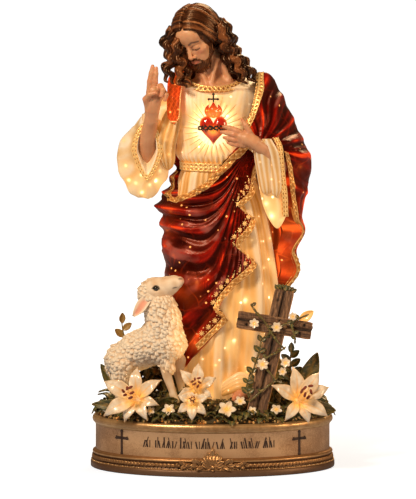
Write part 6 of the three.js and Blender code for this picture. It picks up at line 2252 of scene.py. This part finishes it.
def build_cross():
    post = plank_form(width=14.6, length=92, depth=8, seed=3, low=0.0,
                      holes=((-3.2, 84), (3.4, 62), (-3.4, 20)))
    beam = plank_form(width=13, length=53, depth=8.8, seed=7, low=0.0,
                      holes=((3.0, 45), (-3.0, 47.5), (2.8, 7), (-3.2, 30)))
    beam_pose = pose(at(-28, 0, 64.4), turn_y(86))
    piece("cross_planks", together([post, beam.placed(beam_pose)]).placed(CROSS_POSE), TIMBER,
          "wooden_cross")
    leaf = blade_form(5.0, half=1.7, thick=0.5, rise=lambda t: 0.25 * t * (1 - t) + 0.1 * t,
                      keel=0.35, rows=6, cols=4)
    greens, draw = [], np.random.default_rng(14)
    for row, keys in enumerate(VINES):
        path = through(keys, 40)
        greens.append(tube(path, 0.72 + 0.16 * np.sin(np.arange(40) * 1.1), sides=7, vein=0.25))
        for j in range(3, 39, 9 if row < 5 else 7):
            for lean in (-1, 1) if row == 5 else ((-1) ** j,):
                size = draw.uniform(0.75, 1.1) * (1.15 if row == 5 else 0.7)
                turned = pose(turn_x(78), turn_z(lean * draw.uniform(40, 75)
                                                 + draw.uniform(-20, 20)), sized(size))
                greens.append(leaf.placed(pose(at(*(path[j] + [0, -0.4, 0])), turned)))
    for k in range(7):
        greens.append(leaf.placed(pose(at(-4 + 1.4 * k, -2 + k % 3, 91.4), turn_x(80),
                                       turn_z(52 - 17 * k), sized(0.95))))
    whole = together(greens)
    whole.marks.pop("along")
    piece("cross_vine", whole.placed(CROSS_POSE), LEAF, "wooden_cross")
    blooms = [small_flower(r, petals=6).placed(pose(at(x, y, z), turn_x(84), turn_z(spin)))
              for x, y, z, r, spin in ((-15.9, -7.0, 64, 3.6, 10), (0.2, -7.2, 65, 3.8, 40),
                                       (-3.6, -6.4, 37.2, 4.4, 0), (9.7, -6.8, 75, 3.1, 22),
                                       (12, -2.0, 42, 3.6, 5), (11.4, -2.0, 35.4, 3.0, 30))]
    petal = blade_form(12, half=3.4, thick=0.5, rise=lambda t: 0.2 * t * t, keel=0.4, rows=12,
                       cols=8)
    golden = petal.placed(pose(at(15, 4.6, 73), turn_x(80), turn_z(-42)), throat=0.75,
                          vein=petal.marks["vein"])
    golden.marks.pop("along")
    stem = tube([[4, 4.8, 66], [10, 5.2, 69], [15.4, 4.8, 73.4]], 0.6, sides=6, throat=0.5,
                vein=0.8)
    piece("cross_flowers", together([*blooms, golden, stem]).placed(CROSS_POSE), PETAL,
          "wooden_cross")


# Lilies: [name, throat, lean back from facing the viewer, turn to the side, petal turns from
# straight up to the viewer's right, petal lengths, where the anthers cluster]
LILIES = [["lily_left", (-53.5, -47, 54), 18, -14, [-4, 50, 104, 150, 205, 240, 295],
           [23, 22, 17, 18, 19, 27, 28], (-6.4, -12, 6.4)],
          ["lily_centre", (-12, -42, 60), 18, 6, [-37, 7, 60, 118, 195, 250],
           [18, 19.4, 17, 13, 7, 14], (0.4, -9, 6.6)], ["lily_centre_front", (-14.6, -57, 53.4), 10,
                                                        0, [0, 72, 133, 180, 232, 294],
                                                        [7, 12, 14, 14, 13, 11], (0.4, -6, 2.4)],
          ["lily_right", (60.5, -48, 52.6), 18, 12, [-5, 39, 68, 120, 158, 217, 303],
           [25, 26, 25, 24, 18, 18, 22], (6.2, -12, 8.4)],]
PETAL_ROOT = 2.0


def lily_petal_form(length):
    """A petal that rises from the throat and curls back at its tip."""
    fresh()
    bpy.ops.mesh.primitive_grid_add(x_subdivisions=10, y_subdivisions=18, size=2.0)
    made = bpy.context.object
    run, half = length - PETAL_ROOT, 1 + 0.165 * length
    breadth = lambda t: half * np.sin(math.pi * np.clip(0.08 + 0.92 * t, 0, 1) ** 0.9) ** 1.05

    def shape(p):
        v, t = p[:, 0], (p[:, 1] + 1) / 2
        rib = -0.5 * bump(v, 0, 0.1) + 0.2 * np.cos(v * 12.5) * (1 - np.abs(v))
        z = (run * (0.75 * t - 0.72 * t**3) + rib * (1 - 0.6 * t) + 0.5 * np.sin(t * 13 + v * 1.5)
             * np.abs(v) ** 3)
        z = z + half * v * v * (0.5 - 0.85 * t)
        return np.stack([v * breadth(t), PETAL_ROOT + t * run, z], -1)

    reshaped(made, shape)
    with_modifier(made, "SOLIDIFY", thickness=0.5, offset=-1.0)
    form = read_off(made)
    t = np.clip((form.points[:, 1] - PETAL_ROOT) / run, 0, 1)
    v = np.abs(form.points[:, 0]) / (breadth(t) + 0.01)
    # The vein mark also rises along the edges and at the tip: painted golden light on the edges.
    rim = 0.75 * ease(0.72, 1.0, v) * ease(0.25, 0.6, t) + 0.7 * ease(0.86, 1.0, t)
    lines = np.abs(np.cos(v * 11)) ** 6 * (1 - t) * 0.45
    form.marks = {"throat": bump(t, 0, 0.27),
                  "vein": np.clip(bump(v, 0, 0.1) * (1 - 0.8 * t) + lines + rim, 0, 1)}
    return outward(form)


def build_lilies():
    draw = np.random.default_rng(12)
    for name, throat, lean, side_turn, ways, lengths, cluster in LILIES:
        aim = pose(at(*throat), turn_z(side_turn), turn_x(90 - lean))
        forms = [lily_petal_form(length).placed(pose(aim, turn_z(-way), at(0, 0, 0.6 * (k % 2))))
                 for k, (way, length) in enumerate(zip(ways, lengths))]
        x, y, z = throat
        stem = through([[x, y - 1.4, z], [x, y + 4, z - 0.8], [x * 0.96, y + 13, STAND + 1.4]], 16)
        forms.append(tube(stem, np.interp(np.linspace(0, 1, 16), [0, 0.4, 1], [2.9, 2.6, 1.9]),
                          sides=12, throat=0.7, vein=0.2))
        piece(name + "_petals", together(forms), PETAL, name)
        stalks, anthers = [], []
        base, middle = np.array(throat, float), np.array(cluster, float)
        reach = np.linalg.norm(middle)
        side, up = unit(np.cross(middle, [0, 0, 1])), np.array([0, 0, 1.0])
        for k in range(7):
            a = k * TAU / 6 + 0.4
            wide = 0.0 if k == 6 else reach * (0.21 + 0.05 * (k % 2))
            off = side * wide * math.sin(a) + up * wide * math.cos(a)
            tip = base + middle * (1.1 if k == 6 else 0.92 + 0.07 * (k % 3)) + off
            path = through([base + unit(off) * 0.6, base + middle * 0.5 + off * 0.8 - [0, 0, 0.8],
                            tip], 10)
            girth = 0.34 if k < 6 else np.interp(np.arange(10), [0, 7, 9], [0.5, 0.45, 0.95])
            stalks.append(tube(path, girth, sides=6, throat=0.4, vein=1.0))
            if k < 6:
                along = unit(draw.normal(size=3) * [1, 0.5, 1])
                path = tip + along * np.linspace(-0.09, 0.09, 7)[:, None] * (reach + 4)
                anthers.append(tube(path, 0.05 * (reach + 4)
                                    * np.array([0.5, 0.9, 1, 1, 1, 0.9, 0.5]), sides=7))
        piece(name + "_stamens", together(stalks), PETAL, name)
        piece(name + "_anthers", together(anthers), ANTHER, name)


# The planted bed
BED_HALF, BED_FLAT, BED_FOOT, BED_TOP = (81, 58), (66, 43), 37.7, 49.0


def laid(form, spot, around, tip, size):
    """A leaf or lump at a place: sized, tipped up, then turned about the upright."""
    return form.placed(pose(at(*spot), turn_z(around), turn_x(tip), sized(size)))


def slope_place(turn, share):
    """A place on the mound's slope: a turn from the front, a share of the way to its top."""
    half = [a + (b - a) * share for a, b in zip(BED_HALF, BED_FLAT)]
    z = BED_FOOT + (BED_TOP - BED_FOOT) * share + np.sin(math.pi * share) * 1.6
    return np.stack([half[0] * np.sin(turn), -half[1] * np.cos(turn), z], -1)


TALL_LEAVES = [[(-62, 0, 45), 33, 5, -33, 0], [(-46, -34, 46), 40, 5, -87, 0],
               [(60, -20, 45), 41, 7, 21, 0], [(58, -24, 46), 30, 6, 97, 0],
               [(33, -37, 46), 26, 4.5, -14, 0], [(-42, -42, 47), 18, 5, 72, 0],
               [(-58, 28, 46), 24, 6, -30, 180], [(-20, 42, 46), 22, 6, -12, 180],
               [(24, 42, 46), 24, 6, 14, 180], [(60, 26, 46), 26, 6, 30, 180],]
TWIGS = [[(-56, 8, 46), (-63.5, 3, 102)], [(54, -16, 46), (57, -24, 84)]]
# Bushes of ground leaves: [place, half width, height, leaves]
BUSHES = [[(-28, -8), 9, 14, 90], [(-18, -30), 7, 6, 30], [(46, -30), 9, 12, 50],
          [(62, -30), 8, 8, 30], [(-58, -30), 7, 6, 24], [(-44, 8), 13, 17, 130],
          [(48, -2), 9, 22, 90]]
STARS = [[(-31, -51, 46), 4.8], [(10, -54, 46.6), 6.6], [(19.5, -47, 51.5), 4.2],
         [(-73, -30, 43.5), 4.8], [(45, -50, 46), 4.2], [(-44, -50, 45), 3.4],
         [(28, -52, 45.4), 3.4], [(74, -22, 44), 3.8]]


def nugget_form():
    """A small irregular lump, pushed out of a ball."""
    fresh()
    bpy.ops.mesh.primitive_ico_sphere_add(subdivisions=1, radius=1.0)
    made = bpy.context.object
    reshaped(made, lambda p: p * (1 + 0.22 * ripple(p, size=1.6, seed=17))[:, None])
    return read_off(made)


def build_earth():
    share, a = shares_round(22, 220)
    slope = slope_place(a, share)
    rough = 0.7 * ripple(slope, size=7.0, seed=1) + 0.5 * ripple(slope, size=3.4, seed=2)
    slope = slope + (rough * ease(0, 0.25, share))[..., None] * np.array([0.2, 0.2, 1.0])
    flat = []
    for inset in (0.92, 0.75, 0.5, 0.25):
        ring = slope[-1] * [inset, inset, 1]
        ring[:, 2] = BED_TOP + 0.35 * ripple(ring, size=9.0, seed=4)
        flat.append(ring)
    piece("earth", loft(np.concatenate([slope, np.array(flat)])), EARTH, "flower_bed")


# How many leaves lie all round the slope, small ones among them, ones over the front rim and small
# ones on the top
SLOPE_LEAVES, SMALL_LEAVES, RIM_LEAVES, TOP_LEAVES, NUGGETS = 96, 330, 190, 150, 560


def build_ground_leaves(draw):
    curl = lambda t: 0.32 * np.sin(math.pi * t) - 0.18 * t * t
    leaf, bushy = (blade_form(1.0, half=0.34, thick=0.05, rise=curl, keel=0.3, rows=4, cols=cols)
                   for cols in (4, 2))
    small = blade_form(1.0, half=0.42, thick=0.07, rise=lambda t: 0.3 * np.sin(math.pi * t),
                       keel=0.35, rows=3, cols=2)
    greens = []
    for k in range(SLOPE_LEAVES):
        turn = (k + draw.uniform(0.1, 0.9)) / SLOPE_LEAVES * TAU
        share = (0.18, 0.5, 0.8)[k % 3]
        x, y, z = slope_place(turn, share)
        size = draw.uniform(7, 12.5) * (1.1 if k % 3 == 1 else 0.9)
        around = 180 + math.degrees(turn) + draw.uniform(-75, 75)
        greens.append(laid(leaf, (x, y, z - 0.6), around, draw.uniform(8, 42), size))
    for _ in range(SMALL_LEAVES):
        turn, share = draw.uniform(0, TAU), draw.uniform(0.12, 1.0)
        x, y, z = slope_place(turn, share)
        greens.append(laid(small, (x, y, z - 0.3), draw.uniform(0, 360), draw.uniform(15, 65),
                               draw.uniform(3.0, 5.4)))
    for _ in range(RIM_LEAVES):
        turn, share = draw.uniform(-1.75, 1.75), draw.uniform(0.0, 0.4)
        x, y, z = slope_place(turn, share)
        around = 180 + math.degrees(turn) + draw.uniform(-80, 80)
        greens.append(laid(leaf, (x, y, z + 0.4), around, draw.uniform(-14, 30),
                           draw.uniform(4.5, 8.5)))
    for (x, y), wide, high, count in BUSHES:
        for _ in range(count):
            a, rise = draw.uniform(0, TAU), draw.uniform(0, 1)
            spot = (x + wide * math.sin(a) * (1 - 0.6 * rise), y + 0.6 * wide * math.cos(a),
                    BED_TOP + high * rise)
            around = 180 - math.degrees(a) + draw.uniform(-40, 40)
            greens.append(laid(bushy, spot, around, draw.uniform(10, 75), draw.uniform(5.5, 9.5)))
    for _ in range(TOP_LEAVES):
        reach, turn = math.sqrt(draw.uniform(0, 1)), draw.uniform(0, TAU)
        spot = (64 * reach * math.sin(turn), 41 * reach * math.cos(turn), BED_TOP - 0.4)
        greens.append(laid(small, spot, draw.uniform(0, 360), draw.uniform(15, 50),
                               draw.uniform(3.0, 5.5)))
    whole = together(greens)
    whole.marks = {"vein": whole.marks["vein"] * 0.8}
    piece("ground_leaves", whole, LEAF, "flower_bed")


def build_tall_leaves():
    tall = []
    for root, length, half, lean, turn in TALL_LEAVES:
        form = blade_form(length, half=half, thick=0.7, rise=lambda t: -0.12 * t * t, keel=0.3,
                          rows=16, cols=6, wave=0.35)
        v = np.clip(np.abs(form.points[:, 0]) / half, 0, 1)
        ribs = np.abs(np.cos(form.points[:, 1] * 1.5 - 5.0 * v)) ** 10 * (v < 0.9)
        form.points[:, 2] += 0.3 * ribs
        form.marks = {"vein": np.clip(0.8 * form.marks["vein"] + 0.5 * ribs + 0.5 * ease(0.8, 1, v),
                                      0, 1)}
        tall.append(form.placed(pose(at(*root), turn_y(lean), turn_z(turn), turn_x(90))))
    twig_leaf = blade_form(10.5, half=3.2, thick=0.6, rise=lambda t: 0.16 * t, keel=0.35, rows=12,
                           cols=6, wave=0.2)
    for root, tip in TWIGS:
        root, tip = np.array(root, float), np.array(tip, float)
        path = np.array([root + (tip - root) * t + [1.4 * math.sin(5 * t), 0, 0]
                         for t in np.linspace(0, 1, 24)])
        tall.append(tube(path, np.linspace(1.1, 0.45, 24), sides=7, vein=0.4))
        for k in range(9):
            spot = path[min(23, 7 + 2 * k)]
            aim = 0 if k == 8 else (54 if k % 2 else -52)
            form = twig_leaf.placed(pose(at(*spot), turn_y(aim), turn_z(18 * (-1) ** k), turn_x(86),
                                         sized(1.0 - 0.035 * k)))
            form.marks = {"vein": np.clip(form.marks["vein"] + 1.2 * (k > 4 and tip[0] < 0), 0, 1)}
            tall.append(form)
    piece("tall_leaves", together(tall), LEAF, "flower_bed")


def build_nuggets(draw):
    nugget, gold = nugget_form(), []
    for _ in range(NUGGETS):
        turn, share = draw.uniform(0, TAU), draw.choice([0.0, 0.03, 0.08, 0.14, 0.3, 0.6, 0.9])
        x, y, z = slope_place(turn, share)
        lump = laid(nugget, (x, y, z + 0.3), draw.uniform(0, 360), draw.uniform(0, 90),
                        draw.uniform(0.4, 1.15))
        gold.append(Form(lump.points, lump.faces, relief=draw.uniform(0.35, 0.95)))
    piece("gold_nuggets", together(gold), GILT, "flower_bed")


def build_small_flowers():
    blooms = []
    for (x, y, z), radius in STARS:
        blooms.append(small_flower(radius).placed(pose(at(x, y - 0.6, z + 0.6), turn_z(x * 0.25),
                                                       turn_x(54), turn_z(7 * radius))))
        stem = [[x, y + 0.4, z - 0.4], [x, y + 4, z - 3], [x * 0.98, y + 9, z - 6]]
        blooms.append(tube(through(stem, 8), 0.8, sides=6, vein=0.6))
    piece("small_flowers", together(blooms), PETAL, "flower_bed")


studio()
camera()
build_plinth()
build_robe()
build_belt_and_collar()
build_heart_rays()
build_mantle_wrap()
build_mantle_arm()
build_wide_sleeve()
build_hanging_sleeve()
build_shoulder_strip()
build_head()
build_neck()
build_hair()
build_beard()
build_eyes()
build_hands()
build_foot()
build_heart()
build_flame()
build_thorns()
build_fleece()
build_lamb_face()
build_cross()
build_lilies()
build_earth()
bed_draw = np.random.default_rng(31)
build_ground_leaves(bed_draw)
build_tall_leaves()
build_nuggets(bed_draw)
build_small_flowers()
